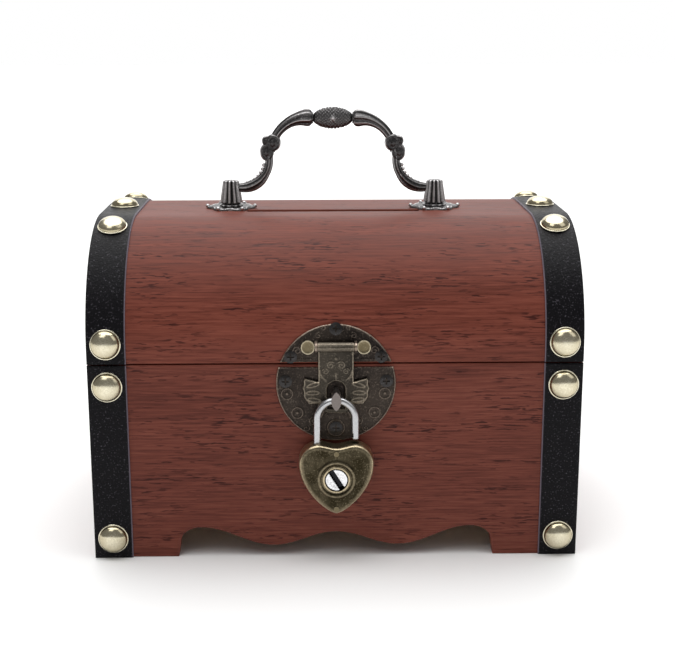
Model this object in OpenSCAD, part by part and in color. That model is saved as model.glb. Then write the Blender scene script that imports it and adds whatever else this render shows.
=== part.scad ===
// Wooden money box: a small chest with a barrel lid, leather straps, a hasp with a heart padlock and a bail handle.
// Millimetres. +X to the right, +Y to the back, +Z up. The feet stand on z = 0.

/* [Case] */
// Width of the case
case_w = 160; // [145:1:200]
// Depth of the case from front board to back board
case_d = 112; // [96:1:140]
// Height of the seam between case and lid
seam_h = 66; // [62:1:85]
// Thickness of the case boards
board_t = 5; // [4:0.5:6]
// Thickness of the floor board
floor_t = 3; // [2:0.5:4]
// Clear height under the floor board
floor_lift = 12; // [11.5:0.5:16]

/* [Apron] */
// Width of each foot along the front
foot_w = 28.4; // [20:0.2:34]
// Height of the arch beside each foot
arch_h = 10.2; // [7:0.2:11]
// Height of the two low lobes
lobe_h = 3.8; // [2:0.2:6]
// Distance of each low lobe from the middle
lobe_x = 20.6; // [16:0.2:24]
// Height of the hump in the middle
hump_h = 8.4; // [6:0.2:11]
// Width of each foot along the sides, corner board included
side_foot = 26; // [20:1:32]
// Height of the arch in the side boards
side_arch_h = 8; // [5:0.5:11]

/* [Lid] */
// Height of the lid above the seam
lid_rise = 42.6; // [38:0.2:50]
// Height of the upright stretch at the foot of the lid
lid_side = 4; // [2:0.5:10]
// Thickness of the bent lid board
shell_t = 3; // [2.5:0.5:4]
// Thickness of the lid's end boards
end_t = 5; // [4:0.5:6]
// Height of the rails inside the lid
rail_h = 12; // [9:0.5:14]
// Thickness of the rails inside the lid
rail_t = 4; // [3:0.5:6]
// Gap between lid and case when shut
lid_gap = 0.4; // [0.3:0.1:0.8]

/* [Coin slot] */
// Length of the coin slot
slot_len = 60; // [40:1:62]
// Width of the coin slot
slot_w = 4.4; // [4.2:0.1:5]
// How far the slot lies in front of the handle
slot_fwd = 6.7; // [6:0.1:11]

/* [Straps and studs] */
// Width of the leather straps
strap_w = 12.6; // [11:0.2:15]
// Thickness of the leather
strap_t = 0.8; // [0.6:0.1:1.8]
// Diameter of the domed studs
stud_d = 10; // [8:0.2:10.6]
// Height of the domes
stud_rise = 3.1; // [2:0.1:3.6]
// Diameter of the stud nails
nail_d = 1.3; // [1:0.1:1.8]
// Depth of the nails in the wood
nail_in = 2.5; // [2:0.1:2.9]
// Distance of the end studs from the seam and from the floor
stud_from_end = 7; // [6:0.2:10]
// Places of the upper studs along the lid, from the middle of the top
top_studs = [-31, 0, 31];

/* [Handle] */
// Distance between the two handle posts
post_pitch = 72; // [64:1:90]
// Height of the posts above their roses
post_h = 9; // [8:0.1:12]
// Diameter of a post at its foot
post_foot_d = 6.7; // [6:0.1:8]
// Diameter of a post at its top
post_top_d = 4.9; // [4.6:0.1:6]
// Height of the bail's pivot above the lid
pivot_h = 7.2; // [6.6:0.1:9]
// Diameter of the bail's pins
bail_pin_d = 2; // [1.8:0.1:2.4]
// Thickness of the bail's arms
bail_d = 2.86; // [2.6:0.02:3.2]
// Height of the bail above its pivot, to the middle of the medallion
bail_h = 24.4; // [22:0.1:28]
// Width across a rose
rose_d = 18.6; // [16:0.2:22]
// Thickness of a rose
rose_t = 0.9; // [0.6:0.1:1.4]
// Thread diameter of the posts
thread_d = 3; // [2.5:0.5:4]

/* [Hasp] */
// Diameter of the round hasp plate
hasp_d = 38.6; // [34:0.2:42]
// How far the middle of the plate lies below the seam
hasp_drop = 6.2; // [5:0.1:8]
// Thickness of the hasp plate
plate_t = 0.8; // [0.6:0.1:1]
// Gap between the two halves of the plate
plate_split = 1.7; // [1.2:0.1:3]
// Width of the flap and its knuckle
flap_w = 11.5; // [10:0.1:12.5]
// Thickness of the flap
flap_t = 1; // [0.8:0.1:1.2]
// Height of the flap's pin above the seam
flap_pin_up = 6.3; // [5.5:0.1:7.5]
// Diameter of the flap's pin
flap_pin_d = 1.4; // [1.2:0.1:1.6]
// Width of the flap's slot
flap_slot_w = 5.6; // [4.6:0.1:6]
// Width of the staple
staple_w = 3.2; // [2.6:0.1:3.8]
// Height of the staple
staple_h = 6.2; // [6:0.1:6.8]
// Diameter of the staple's eye
eye_d = 4.2; // [4:0.1:4.4]
// How far the eye lies below the seam
eye_drop = 10.2; // [9.8:0.1:11]
// How far the middle of the padlock stands off the front board
lock_out = 5; // [5:0.1:6.5]

/* [Padlock] */
// Thickness of the shackle wire
wire_d = 2.4; // [2:0.1:2.6]
// Distance between the shackle's legs
leg_pitch = 12.3; // [11.6:0.1:13]
// Width of the heart-shaped case
heart_w = 24.2; // [22:0.2:27]
// Height of the heart-shaped case
heart_h = 23.4; // [22:0.2:26]
// Thickness of the heart-shaped case
heart_t = 7.4; // [7:0.1:7.6]
// Wall of the heart-shaped case
heart_wall = 0.9; // [0.7:0.1:1]
// Gap between the short leg and the case when open
leg_gap = 1.2; // [0.8:0.1:1.6]
// Travel of the case from open to shut
lock_travel = 5; // [4.8:0.1:5.2]
// Diameter of the turning plug
plug_d = 7.3; // [6.6:0.1:7.6]
// Width of the slot in the plug
plug_slot_w = 1.6; // [1.2:0.1:2]
// Lean of the plug's slot to the left, in degrees
plug_slot_lean = 32; // [0:1:45]

/* [Hinges] */
// Distance of each hinge from the middle
hinge_x = 40; // [32:1:55]
// Width of a hinge
hinge_w = 16; // [14:1:20]
// Height of a hinge leaf
leaf_h = 10; // [9:0.5:12]
// Thickness of a hinge leaf
leaf_t = 0.8; // [0.6:0.1:1]
// Outer diameter of a hinge knuckle
knuckle_d = 3.2; // [3:0.1:3.4]
// Diameter of a hinge pin
hinge_pin_d = 1.5; // [1.3:0.1:1.7]

/* [Hidden] */
$fn = 48;

run_gap = 0.05;             // radial clearance of a pin that turns in a bore
side_gap = 0.2;             // clearance beside a knuckle or an arm
over = 1;                   // how far a cutting tool runs past a face
arc_steps = 24;             // steps in a quarter of the lid's curve
apron_step = 2;             // spacing of the points along the apron's curve

front_y = -case_d / 2;
back_y = case_d / 2;
lid_z = seam_h + lid_gap;
shoulder_r = lid_rise - lid_side;
flat_half = case_d / 2 - shoulder_r;
lid_top = seam_h + lid_rise;
inner_w = case_w - 2 * board_t;
strap_x = case_w / 2 - strap_w;
stud_x = case_w / 2 - strap_w / 2;
pivot_z = lid_top + pivot_h;

collar_rise = 0.4;          // the ring around the plug, above the padlock's face
front_reach = lock_out + heart_t / 2 + collar_rise;
back_reach = strap_t + stud_rise;
frame_y = (front_reach - back_reach) / 2;   // puts the origin under the middle of the whole box

hinge_out = knuckle_d / 2 + side_gap;       // hinge axis behind the back board
hinge_z = seam_h + lid_gap / 2;

module place() {
    translate([0, frame_y, 0]) children();
}

// ---------- boards of the case ----------

// Lower edge of the apron: a raised cosine wave with a hump in the middle, two low lobes and two arches.
function apron_z(x, arch_x) = abs(x) < lobe_x
    ? lobe_h + (hump_h - lobe_h) * (1 + cos(180 * x / lobe_x)) / 2
    : lobe_h + (arch_h - lobe_h) * (1 - cos(180 * (abs(x) - lobe_x) / (arch_x - lobe_x))) / 2;

// One quarter ellipse from the foot up to the top of the arch, side = -1 or 1.
foot_step = 0.7;            // slant at the foot of the quarter ellipse

function arch_corner(side, arch_x, foot_x, spring_h) = [for (i = [0:8])
    let (a = (side > 0 ? 90 - i * 90 / 8 : i * 90 / 8))
    [side * (arch_x + (foot_x - arch_x) * cos(a)), spring_h + (arch_h - spring_h) * sin(a)]];

module apron_cut() {
    foot_x = case_w / 2 - foot_w;
    arch_x = foot_x - 7;
    spring_h = arch_h / 2;
    steps = floor(2 * arch_x / apron_step);
    wave = [for (i = [1:steps - 1]) let (x = -arch_x + 2 * arch_x * i / steps) [x, apron_z(x, arch_x)]];
    polygon(concat(
        [[-foot_x - foot_step, -over], [-foot_x - foot_step, 0]],
        arch_corner(-1, arch_x, foot_x, spring_h),
        wave,
        arch_corner(1, arch_x, foot_x, spring_h),
        [[foot_x + foot_step, 0], [foot_x + foot_step, -over]]));
}

module side_arch_cut() {
    half = case_d / 2 - side_foot;
    polygon(concat(
        [[-half, -over]],
        [for (i = [0:24]) let (a = 180 - i * 7.5)
            [half * sign(cos(a)) * pow(abs(cos(a)), 0.5), side_arch_h * pow(abs(sin(a)), 0.8)]],
        [[half, -over]]));
}

// A face board with the apron cut out of its lower edge; y0 is its front plane.
module face_board(y0) {
    translate([0, y0 + board_t, 0]) rotate([90, 0, 0]) linear_extrude(board_t) difference() {
        translate([-case_w / 2, 0]) square([case_w, seam_h]);
        apron_cut();
    }
}

module front_board() {
    color("#7a3b2e") place() difference() {
        face_board(front_y);
        case_nails(-1);
        hasp_screw_holes_lower();
        staple_tail();
    }
}

module back_board() {
    color("#7a3b2e") place() difference() {
        face_board(back_y - board_t);
        case_nails(1);
        hinge_screw_shanks(-1);
    }
}

module side_board(side) {
    color("#6f3529") place() translate([side * (case_w / 2 - board_t / 2) - board_t / 2, 0, 0])
        rotate([90, 0, 90]) linear_extrude(board_t) difference() {
            translate([-case_d / 2 + board_t, 0]) square([case_d - 2 * board_t, seam_h]);
            side_arch_cut();
        }
}
module side_board_left() { side_board(-1); }
module side_board_right() { side_board(1); }

module floor_board() {
    color("#a77b55") place() translate([-inner_w / 2, -case_d / 2 + board_t, floor_lift])
        cube([inner_w, case_d - 2 * board_t, floor_t]);
}

// ---------- lid ----------

// Outline of the lid seen from its end, from z0 up: upright, quarter arc, flat top; grow moves it outwards.
function shoulder(side, grow) = [for (i = [0:arc_steps]) let (a = side > 0 ? i * 90 / arc_steps : 90 - i * 90 / arc_steps)
    [side * (flat_half + (shoulder_r + grow) * cos(a)), seam_h + lid_side + (shoulder_r + grow) * sin(a)]];

module lid_outline(grow, z0) {
    half = case_d / 2 + grow;
    polygon(concat([[-half, z0], [half, z0]], shoulder(1, grow), shoulder(-1, grow)));
}

module along_x(x0, x1) {
    translate([x0, 0, 0]) rotate([90, 0, 90]) linear_extrude(x1 - x0) children();
}

module lid_shell() {
    color("#84443a") place() difference() {
        along_x(-case_w / 2, case_w / 2) difference() {
            lid_outline(0, lid_z);
            lid_outline(-shell_t, lid_z - over);
        }
        translate([-slot_len / 2, -slot_fwd - slot_w / 2, lid_top - shell_t - over])
            cube([slot_len, slot_w, shell_t + 2 * over]);
        post_threads();
        lid_nails();
        hasp_screw_holes_upper();
        rivet_shanks();
        hinge_screw_shanks(1);
    }
}

module lid_end(side) {
    x_in = case_w / 2 - end_t;
    color("#6f3529") place() along_x(side > 0 ? x_in : -case_w / 2, side > 0 ? case_w / 2 : -x_in)
        lid_outline(-shell_t, lid_z);
}
module lid_end_left() { lid_end(-1); }
module lid_end_right() { lid_end(1); }

module lid_rail(side) {
    x_in = case_w / 2 - end_t;
    y_wall = case_d / 2 - shell_t;
    color("#a77b55") place() difference() {
        along_x(-x_in, x_in) intersection() {
            lid_outline(-shell_t, lid_z);
            translate([side > 0 ? y_wall - rail_t : -y_wall, lid_z]) square([rail_t, rail_h]);
        }
        if (side < 0) hasp_screw_holes_upper();
        if (side < 0) rivet_shanks();
        if (side > 0) hinge_screw_shanks(1);
    }
}
module lid_rail_front() { lid_rail(-1); }
module lid_rail_back() { lid_rail(1); }

// ---------- straps and studs ----------

module case_strap(side, face) {
    x0 = side > 0 ? strap_x : -case_w / 2;
    y0 = face < 0 ? front_y - strap_t : back_y;
    color("#1b1a20") place() difference() {
        translate([x0, y0, 0]) cube([strap_w, strap_t, seam_h]);
        case_nails(face);
    }
}
module strap_front_left() { case_strap(-1, -1); }
module strap_front_right() { case_strap(1, -1); }
module strap_back_left() { case_strap(-1, 1); }
module strap_back_right() { case_strap(1, 1); }

module lid_strap(side) {
    color("#1b1a20") place() difference() {
        along_x(side > 0 ? strap_x : -case_w / 2, side > 0 ? case_w / 2 : -strap_x) difference() {
            lid_outline(strap_t, lid_z);
            lid_outline(0, lid_z - over);
        }
        lid_nails();
    }
}
module strap_lid_left() { lid_strap(-1); }
module strap_lid_right() { lid_strap(1); }

// A domed stud on the plane z = 0 with its dome up; the nail goes down through strap and wood.
dome_r = (pow(stud_d / 2, 2) + pow(stud_rise, 2)) / (2 * stud_rise);

module nail(extra = 0) {
    translate([0, 0, -strap_t - nail_in]) cylinder(d = nail_d, h = strap_t + nail_in + extra);
}

module stud() {
    intersection() {
        translate([0, 0, stud_rise - dome_r]) sphere(r = dome_r);
        cylinder(d = stud_d + 2, h = stud_rise + over);
    }
    nail(stud_rise / 2);
}

module on_case(face) {
    for (side = [-1, 1], z = [stud_from_end, seam_h - stud_from_end])
        translate([side * stud_x, face < 0 ? front_y - strap_t : back_y + strap_t, z])
            rotate([face < 0 ? 90 : -90, 0, 0]) children();
}

// Distance from the middle of the top, along the lid, turned into a place and a lean on its outer surface.
arc_len = shoulder_r * PI / 2;
function lean_at(s) = abs(s) < flat_half ? 0 : min(90, (abs(s) - flat_half) / arc_len * 90);
function y_at(s, grow) = sign(s) * (min(abs(s), flat_half) + (shoulder_r + grow) * sin(lean_at(s)));
function z_at(s, grow) = seam_h + lid_side + (shoulder_r + grow) * cos(lean_at(s))
    - max(0, abs(s) - flat_half - arc_len);

module on_lid(s, grow) {
    translate([0, y_at(s, grow), z_at(s, grow)]) rotate([-sign(s) * lean_at(s), 0, 0]) children();
}

low_stud = flat_half + arc_len + lid_side - stud_from_end;
lid_stud_places = concat([-low_stud], top_studs, [low_stud]);

module case_nails(face) { on_case(face) nail(over); }
module lid_nails() {
    for (side = [-1, 1], s = lid_stud_places)
        translate([side * stud_x, 0, 0]) on_lid(s, strap_t) nail(over);
}

module case_studs() {
    color("#d9cf9a") place() for (face = [-1, 1]) on_case(face) stud();
}

module lid_studs() {
    color("#d9cf9a") place() for (side = [-1, 1], s = lid_stud_places)
        translate([side * stud_x, 0, 0]) on_lid(s, strap_t) stud();
}

// ---------- handle ----------

module at_posts() {
    for (side = [-1, 1]) translate([side * post_pitch / 2, 0, lid_top]) children();
}

washer_t = 0.6;
thread_end = 0.6;           // thread past the nut
pin_reach = 1.2;            // how far the bail's pins reach past the post's middle
petal_share = 0.17;         // radius of a petal as a share of the rose
petal_thin = 0.8;           // thickness of a petal as a share of the rose
nut_t = 2.4;
nut_af = 5.5;

module post_threads() { at_posts() translate([0, 0, -shell_t - over]) cylinder(d = thread_d, h = shell_t + 2 * over); }

module handle_post(side) {
    thread_len = shell_t + washer_t + nut_t + thread_end;
    color("#5b5a57") place() translate([side * post_pitch / 2, 0, lid_top]) difference() {
        union() {
            translate([0, 0, rose_t]) cylinder(d1 = post_foot_d, d2 = post_top_d, h = post_h);
            translate([0, 0, -thread_len]) cylinder(d = thread_d, h = thread_len + rose_t + 1);
        }
        translate([0, 0, pivot_h]) rotate([0, -90 * side, 0]) translate([0, 0, -pin_reach])
            cylinder(d = bail_pin_d + 2 * run_gap, h = post_foot_d);
    }
}
module handle_post_left() { handle_post(-1); }
module handle_post_right() { handle_post(1); }

module handle_rose(side) {
    petals = 6;
    petal_r = rose_d * petal_share;
    color("#6a6965") place() translate([side * post_pitch / 2, 0, lid_top]) difference() {
        union() {
            cylinder(r = rose_d / 2 - petal_r, h = rose_t);
            for (i = [0:petals - 1]) rotate([0, 0, i * 360 / petals])
                translate([rose_d / 2 - petal_r, 0, 0]) cylinder(r = petal_r, h = rose_t * petal_thin);
        }
        translate([0, 0, -over]) cylinder(d = thread_d, h = rose_t + 2 * over);
    }
}
module handle_rose_left() { handle_rose(-1); }
module handle_rose_right() { handle_rose(1); }

module handle_washers() {
    color("#b8b8b4") place() at_posts() translate([0, 0, -shell_t - washer_t]) difference() {
        cylinder(d = thread_d + 4, h = washer_t);
        translate([0, 0, -over]) cylinder(d = thread_d, h = washer_t + 2 * over);
    }
}

module handle_nuts() {
    color("#b8b8b4") place() at_posts() translate([0, 0, -shell_t - washer_t - nut_t]) difference() {
        cylinder(d = nut_af / cos(30), h = nut_t, $fn = 6);
        translate([0, 0, -over]) cylinder(d = thread_d, h = nut_t + 2 * over);
    }
}

// A bent round rod in the bail's plane: middle of the bend, bend radius, start angle and sweep.
module bend(x, z, r, start, sweep, d) {
    translate([x, 0, z]) rotate([90, 0, 0]) rotate_extrude(angle = sweep, start = start)
        translate([r, 0]) circle(d = d);
}

medal_l = 14;               // length of the medallion in the middle of the bail
medal_h = 8;                // height of the medallion
medal_t = 5.2;              // thickness of the medallion
lower_r = 9.8;              // bend of the lower arm
upper_r = 12.7;             // bend of the upper arm
arm_step = 1.5;             // how far the upper arm starts inside the lower one
arm_straight = 0.8;         // straight stretch beside the post
arm_lap = 0.3;              // how far the top rod runs into the bend
post_clear = 0.1;           // extra room between arm and post
lower_leaf_d = 5.2;         // lower scroll leaf
lower_leaf_in = 0.1;
upper_leaf_d = 6.4;         // upper scroll leaf
upper_leaf_in = 1.6;
leaf_step = 3.3;            // height of the upper leaf above the lower one
bud_l = 9;                  // buds beside the medallion
bud_d = 5.6;
bud_out = 2.4;

// An oval of revolution about X, as a profile of half an ellipse.
module oval(l, d) {
    rotate([0, 90, 0]) rotate_extrude() polygon(concat([[0, -l / 2]],
        [for (i = [1:15]) let (a = -90 + i * 180 / 16) [d / 2 * cos(a), l / 2 * sin(a)]], [[0, l / 2]]));
}

module bail_half() {
    post_face = (post_foot_d + (post_top_d - post_foot_d) * (pivot_h - rose_t) / post_h) / 2;
    shoulder_x = post_pitch / 2 - post_face - side_gap - post_clear;
    knob_x = shoulder_x - lower_r;
    upper_x = knob_x - upper_r - arm_step;
    translate([shoulder_x - arm_straight / 2, 0, 0]) rotate([0, 90, 0])
        cylinder(d = bail_pin_d, h = post_pitch / 2 - shoulder_x + pin_reach);
    translate([shoulder_x - arm_straight, 0, 0]) rotate([0, 90, 0]) cylinder(d = bail_d, h = arm_straight);
    bend(shoulder_x - arm_straight, lower_r, lower_r, 180, 90, bail_d);
    translate([knob_x - lower_leaf_in, 0, bail_h / 2]) sphere(d = lower_leaf_d);
    translate([knob_x - upper_leaf_in, 0, bail_h / 2 + leaf_step]) sphere(d = upper_leaf_d);
    bend(upper_x, bail_h - upper_r, upper_r, 0, 90, bail_d);
    translate([0, 0, bail_h]) rotate([0, 90, 0]) cylinder(d = bail_d, h = upper_x + arm_lap);
    translate([medal_l / 2 + bud_out, 0, bail_h]) oval(bud_l, bud_d);
}

module bail() {
    color("#4b4a47") place() translate([0, 0, pivot_z]) {
        bail_half();
        mirror([1, 0, 0]) bail_half();
        intersection() {
            translate([0, 0, bail_h]) oval(medal_l + 1, medal_h);
            translate([-medal_l, -medal_t / 2, 0]) cube([2 * medal_l, medal_t, 2 * bail_h]);
        }
    }
}

// ---------- hasp ----------

screw_head_d = 4.2;
screw_head_rise = 0.3;
cross_l = 2.4;              // cross recess in a screw's head
cross_w = 0.5;
cross_deep = 0.4;
screw_d = 2;
screw_in = 3.6;
upper_screws = [[0, 11.6], [-14.6, 2.7], [14.6, 2.7]];      // across and above the seam
lower_screws = [[0, -21.2], [-16.3, -5.5], [16.3, -5.5]];
rivets = [[-9, 5.8], [9, 5.8]];
rivet_head_d = 4.2;
rivet_head_t = 0.5;
rivet_d = 2;

// A point on the front of lid or case at a height above or below the seam, facing out.
function front_lean(up) = up <= lid_side ? 90 : 90 - asin((up - lid_side) / shoulder_r);

module on_front(p, grow) {
    up = p[1];
    lean = front_lean(up);
    y = up <= lid_side ? front_y - grow : -flat_half - (shoulder_r + grow) * sin(lean);
    z = up <= lid_side ? seam_h + up : seam_h + lid_side + (shoulder_r + grow) * cos(lean);
    translate([p[0], y, z]) rotate([lean, 0, 0]) children();
}

// Screw with a low domed head, head underside on z = 0.
module screw(in) {
    head_r = (pow(screw_head_d / 2, 2) + pow(screw_head_rise, 2)) / (2 * screw_head_rise);
    difference() {
        union() {
            intersection() {
                translate([0, 0, screw_head_rise - head_r]) sphere(r = head_r);
                cylinder(d = screw_head_d + 1, h = 1);
            }
            translate([0, 0, -in]) cylinder(d = screw_d, h = in + screw_head_rise / 2);
        }
        for (a = [0, 90]) rotate([0, 0, a]) translate([-cross_l / 2, -cross_w / 2, -cross_deep])
            cube([cross_l, cross_w, 1]);
    }
}

module screw_hole(in) { translate([0, 0, -in]) cylinder(d = screw_d, h = in + over); }

module hasp_screw_holes_lower() { for (p = lower_screws) on_front(p, plate_t) screw_hole(screw_in); }
module hasp_screw_holes_upper() { for (p = upper_screws) on_front(p, plate_t) screw_hole(screw_in); }
module hasp_screws_lower() { color("#3a3833") place() for (p = lower_screws) on_front(p, plate_t) screw(screw_in); }
module hasp_screws_upper() { color("#3a3833") place() for (p = upper_screws) on_front(p, plate_t) screw(screw_in); }

rivet_in = plate_t + 2;
module rivet_shanks() {
    for (p = rivets) on_front(p, plate_t) translate([0, 0, -rivet_in]) cylinder(d = rivet_d, h = rivet_in + over);
}
module hasp_rivets() {
    color("#8a7a45") place() for (p = rivets) on_front(p, plate_t) {
        cylinder(d = rivet_head_d, h = rivet_head_t);
        translate([0, 0, -rivet_in]) cylinder(d = rivet_d, h = rivet_in + rivet_head_t / 2);
    }
}

module hasp_disc(z0, z1) {
    translate([0, front_y + 10, 0]) rotate([90, 0, 0]) linear_extrude(20) intersection() {
        translate([0, seam_h - hasp_drop]) circle(d = hasp_d);
        translate([-hasp_d, z0]) square([2 * hasp_d, z1 - z0]);
    }
}

knuckle_r = 1.65;
flap_back = 1.1;            // back of the knuckle, in front of the board
knuckle_out = flap_back + knuckle_r;
flap_pin_z = seam_h + flap_pin_up;
ear_t = 0.8;

module flap_pin_at(d, half) {
    translate([-half, front_y - knuckle_out, flap_pin_z]) rotate([0, 90, 0]) cylinder(d = d, h = 2 * half);
}

module hasp_plate_upper() {
    ear_x = flap_w / 2 + side_gap;
    color("#3b3a34") place() difference() {
        union() {
            intersection() {
                hasp_disc(seam_h + plate_split / 2, seam_h + hasp_d);
                along_x(-hasp_d, hasp_d) difference() {
                    lid_outline(plate_t, lid_z);
                    lid_outline(0, lid_z - over);
                }
            }
            for (side = [-1, 1]) translate([side > 0 ? ear_x : -ear_x - ear_t,
                front_y - knuckle_out - 1.3, flap_pin_z - 1.5])
                cube([ear_t, knuckle_out + 1.3 - plate_t / 2, 3]);
        }
        flap_pin_at(flap_pin_d, hasp_d);
        hasp_screw_holes_upper();
        rivet_shanks();
    }
}

module flap_pin() {
    color("#8a7a45") place() flap_pin_at(flap_pin_d, flap_w / 2 + side_gap + ear_t);
}

slot_top = 5.2;             // top of the flap's slot below the seam
slot_foot = 14.3;           // foot of the slot below the seam
flap_foot = 15.9;           // lower end of the flap below the seam
wing = [[10.1, -4.2], [10.5, -7], [10.3, -10], [9.2, -12.5], [4.7, -12.8]];

// Outline of the flap, measured from the middle of the seam.
module flap_outline() {
    slot_r = flap_slot_w / 2;
    neck = flap_w / 2;
    right = concat([[neck, flap_pin_up], [neck, -5.5]], wing, [[4.3, 1 - flap_foot], [3.2, -flap_foot]]);
    left = [for (i = [len(right) - 1:-1:0]) [-right[i][0], right[i][1]]];
    arch = [for (i = [0:12]) [slot_r * cos(15 * i), slot_r * sin(15 * i) - slot_top - slot_r]];
    difference() {
        polygon(concat(right, left));
        polygon(concat([[-slot_r, -slot_foot], [slot_r, -slot_foot]], arch));
    }
}

module hasp_flap() {
    color("#45433a") place() difference() {
        union() {
            translate([0, front_y - flap_back - 0.15, seam_h]) rotate([90, 0, 0]) linear_extrude(flap_t)
                flap_outline();
            flap_pin_at(2 * knuckle_r, flap_w / 2 - 0.05);
        }
        flap_pin_at(flap_pin_d + 2 * run_gap, flap_w);
    }
}

module hasp_plate_lower() {
    color("#3b3a34") place() difference() {
        intersection() {
            hasp_disc(seam_h - hasp_drop - hasp_d, seam_h - plate_split / 2);
            translate([-hasp_d, front_y - plate_t, 0]) cube([2 * hasp_d, plate_t, seam_h]);
        }
        hasp_screw_holes_lower();
        staple_tail();
    }
}

eye_z = seam_h - eye_drop;
tail_in = 2.5;

eye_front = 1.1;            // metal in front of the staple's eye
tail_lap = 0.6;             // how far the staple's tail runs into its bar

module staple_tail() {
    translate([0, front_y - plate_t - over, eye_z]) rotate([-90, 0, 0]) cylinder(d = 2, h = plate_t + over + tail_in);
}

// The staple is an upright almond bar that sticks out of the plate, with a round eye from side to side.
module staple() {
    almond_r = (pow(staple_h / 2, 2) + pow(staple_w / 2, 2)) / staple_w;
    reach = lock_out + eye_d / 2 + eye_front;
    color("#7d7563") place() difference() {
        union() {
            translate([0, front_y - plate_t, eye_z]) rotate([90, 0, 0]) linear_extrude(reach - plate_t) intersection() {
                translate([almond_r - staple_w / 2, 0]) circle(r = almond_r);
                translate([staple_w / 2 - almond_r, 0]) circle(r = almond_r);
            }
            translate([0, front_y - plate_t - tail_lap, eye_z]) rotate([-90, 0, 0])
                cylinder(d = 2, h = plate_t + tail_lap + tail_in);
        }
        translate([-staple_w, front_y - lock_out, eye_z]) rotate([0, 90, 0]) cylinder(d = eye_d, h = 2 * staple_w);
    }
}

// ---------- padlock ----------

wire_sag = 0.5;             // the wire hangs this far below the middle of the eye
wire_z = eye_z - wire_sag;
bow_z = wire_z - leg_pitch / 2;
lock_y = front_y - lock_out;
heart_top = bow_z - 7.95;   // top of the heart's lobes, lock open
heart_tip = heart_top - heart_h;
lobe_r = 6.3;
flank_power = 0.66;         // how full the heart's flanks are near the tip
flank_grade = 1.6;          // how much closer together the outline's points lie near the tip
short_leg_end = heart_top + leg_gap;
long_leg_end = heart_top - 7.5;
plug_z = heart_top - 11.5;
rivet_zs = [heart_top - 2.8, heart_tip + 2];
notch_up = 0.8;             // the bolt's notch above the short leg's end
notch_h = 1.3;
notch_share = 0.75;         // where the notch ends, as a share of the wire
rivet_cap_d = 1.7;
rivet_cap_rise = 0.25;      // rivet heads on the front of the padlock
rivet_tail_rise = 0.1;      // rivet ends on its back, low so that they pass the hasp's bottom screw
leg_gap_r = 0.1;

module shackle() {
    notch_z = short_leg_end + notch_up;
    color("#cfd0d2") place() translate([0, lock_y, 0]) difference() {
        union() {
            translate([0, 0, bow_z]) rotate([90, 0, 0]) rotate_extrude(angle = 180)
                translate([leg_pitch / 2, 0]) circle(d = wire_d);
            translate([-leg_pitch / 2, 0, long_leg_end]) cylinder(d = wire_d, h = bow_z - long_leg_end);
            translate([leg_pitch / 2, 0, short_leg_end]) cylinder(d = wire_d, h = bow_z - short_leg_end);
        }
        translate([leg_pitch / 2 - wire_d, -wire_d, notch_z]) cube([wire_d * notch_share, 2 * wire_d, notch_h]);
    }
}

// Half of the heart's outline: a flank that follows a power of a sine from tip to widest point,
// the lobe's quarter circle, and a shallow dip in the middle of the top.
function heart_half(inset) =
    let (w = heart_w / 2 - inset, top = heart_top - inset, tip = heart_tip + inset,
        r = lobe_r - inset, wide_z = top - r, cx = w - r, dip = 1)
    concat(
        [for (i = [1:20]) let (u = pow(i / 20, flank_grade)) [w * pow(sin(90 * u), flank_power), tip + (wide_z - tip) * u]],
        [for (i = [1:10]) let (a = i * 9) [cx + r * cos(a), wide_z + r * sin(a)]],
        [for (i = [1:6]) let (x = cx * (1 - i / 6)) [x, top - dip * (1 + cos(180 * x / cx)) / 2]]);

module heart(inset) {
    half = heart_half(inset);
    n = len(half);
    polygon(concat([[0, heart_tip + inset]], half, [for (i = [n - 2:-1:0]) [-half[i][0], half[i][1]]]));
}

// Solid of the heart between two distances in front of the padlock's middle plane.
module heart_slab(out0, out1, inset) {
    translate([0, lock_y - out0, 0]) rotate([90, 0, 0]) linear_extrude(out1 - out0) heart(inset);
}

module leg_holes() {
    for (side = [-1, 1]) translate([side * leg_pitch / 2, lock_y, heart_top - 5])
        cylinder(d = wire_d + 2 * leg_gap_r, h = 12);
}

module across(x, z, out0, out1, d) {
    translate([x, lock_y - out0, z]) rotate([90, 0, 0]) cylinder(d = d, h = out1 - out0);
}

half_t = heart_t / 2;
edge_step = 0.7;            // the faces are stepped in by this much at the rim
barrel_d = plug_d + 1.9;
rivet_pin_d = 1.2;

module padlock_front() {
    color("#5a4c2c") place() difference() {
        union() {
            heart_slab(0, half_t - edge_step, 0);
            heart_slab(half_t - edge_step - 0.1, half_t, edge_step);
            across(0, plug_z, half_t - 0.5, half_t + collar_rise, barrel_d + 3);
        }
        heart_slab(-over, half_t - heart_wall, heart_wall);
        across(0, plug_z, -over, half_t + over, barrel_d);
        for (z = rivet_zs) across(0, z, -over, half_t + over, rivet_pin_d);
        leg_holes();
    }
}

module padlock_back() {
    color("#5a4c2c") place() difference() {
        union() {
            heart_slab(-half_t + edge_step, 0, 0);
            heart_slab(-half_t, -half_t + edge_step + 0.1, edge_step);
        }
        heart_slab(-half_t + heart_wall, over, heart_wall);
        for (z = rivet_zs) across(0, z, -half_t - over, over, rivet_pin_d);
        leg_holes();
    }
}

module padlock_rivets() {
    color("#8f8358") place() for (z = rivet_zs) {
        across(0, z, -half_t, half_t, rivet_pin_d);
        across(0, z, half_t, half_t + rivet_cap_rise, rivet_cap_d);
        across(0, z, -half_t - rivet_tail_rise, -half_t, rivet_cap_d);
    }
}

module lock_barrel() {
    color("#8f8358") place() difference() {
        across(0, plug_z, 0, half_t + collar_rise, barrel_d);
        across(0, plug_z, -over, half_t + over, plug_d + 2 * run_gap);
    }
}

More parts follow.
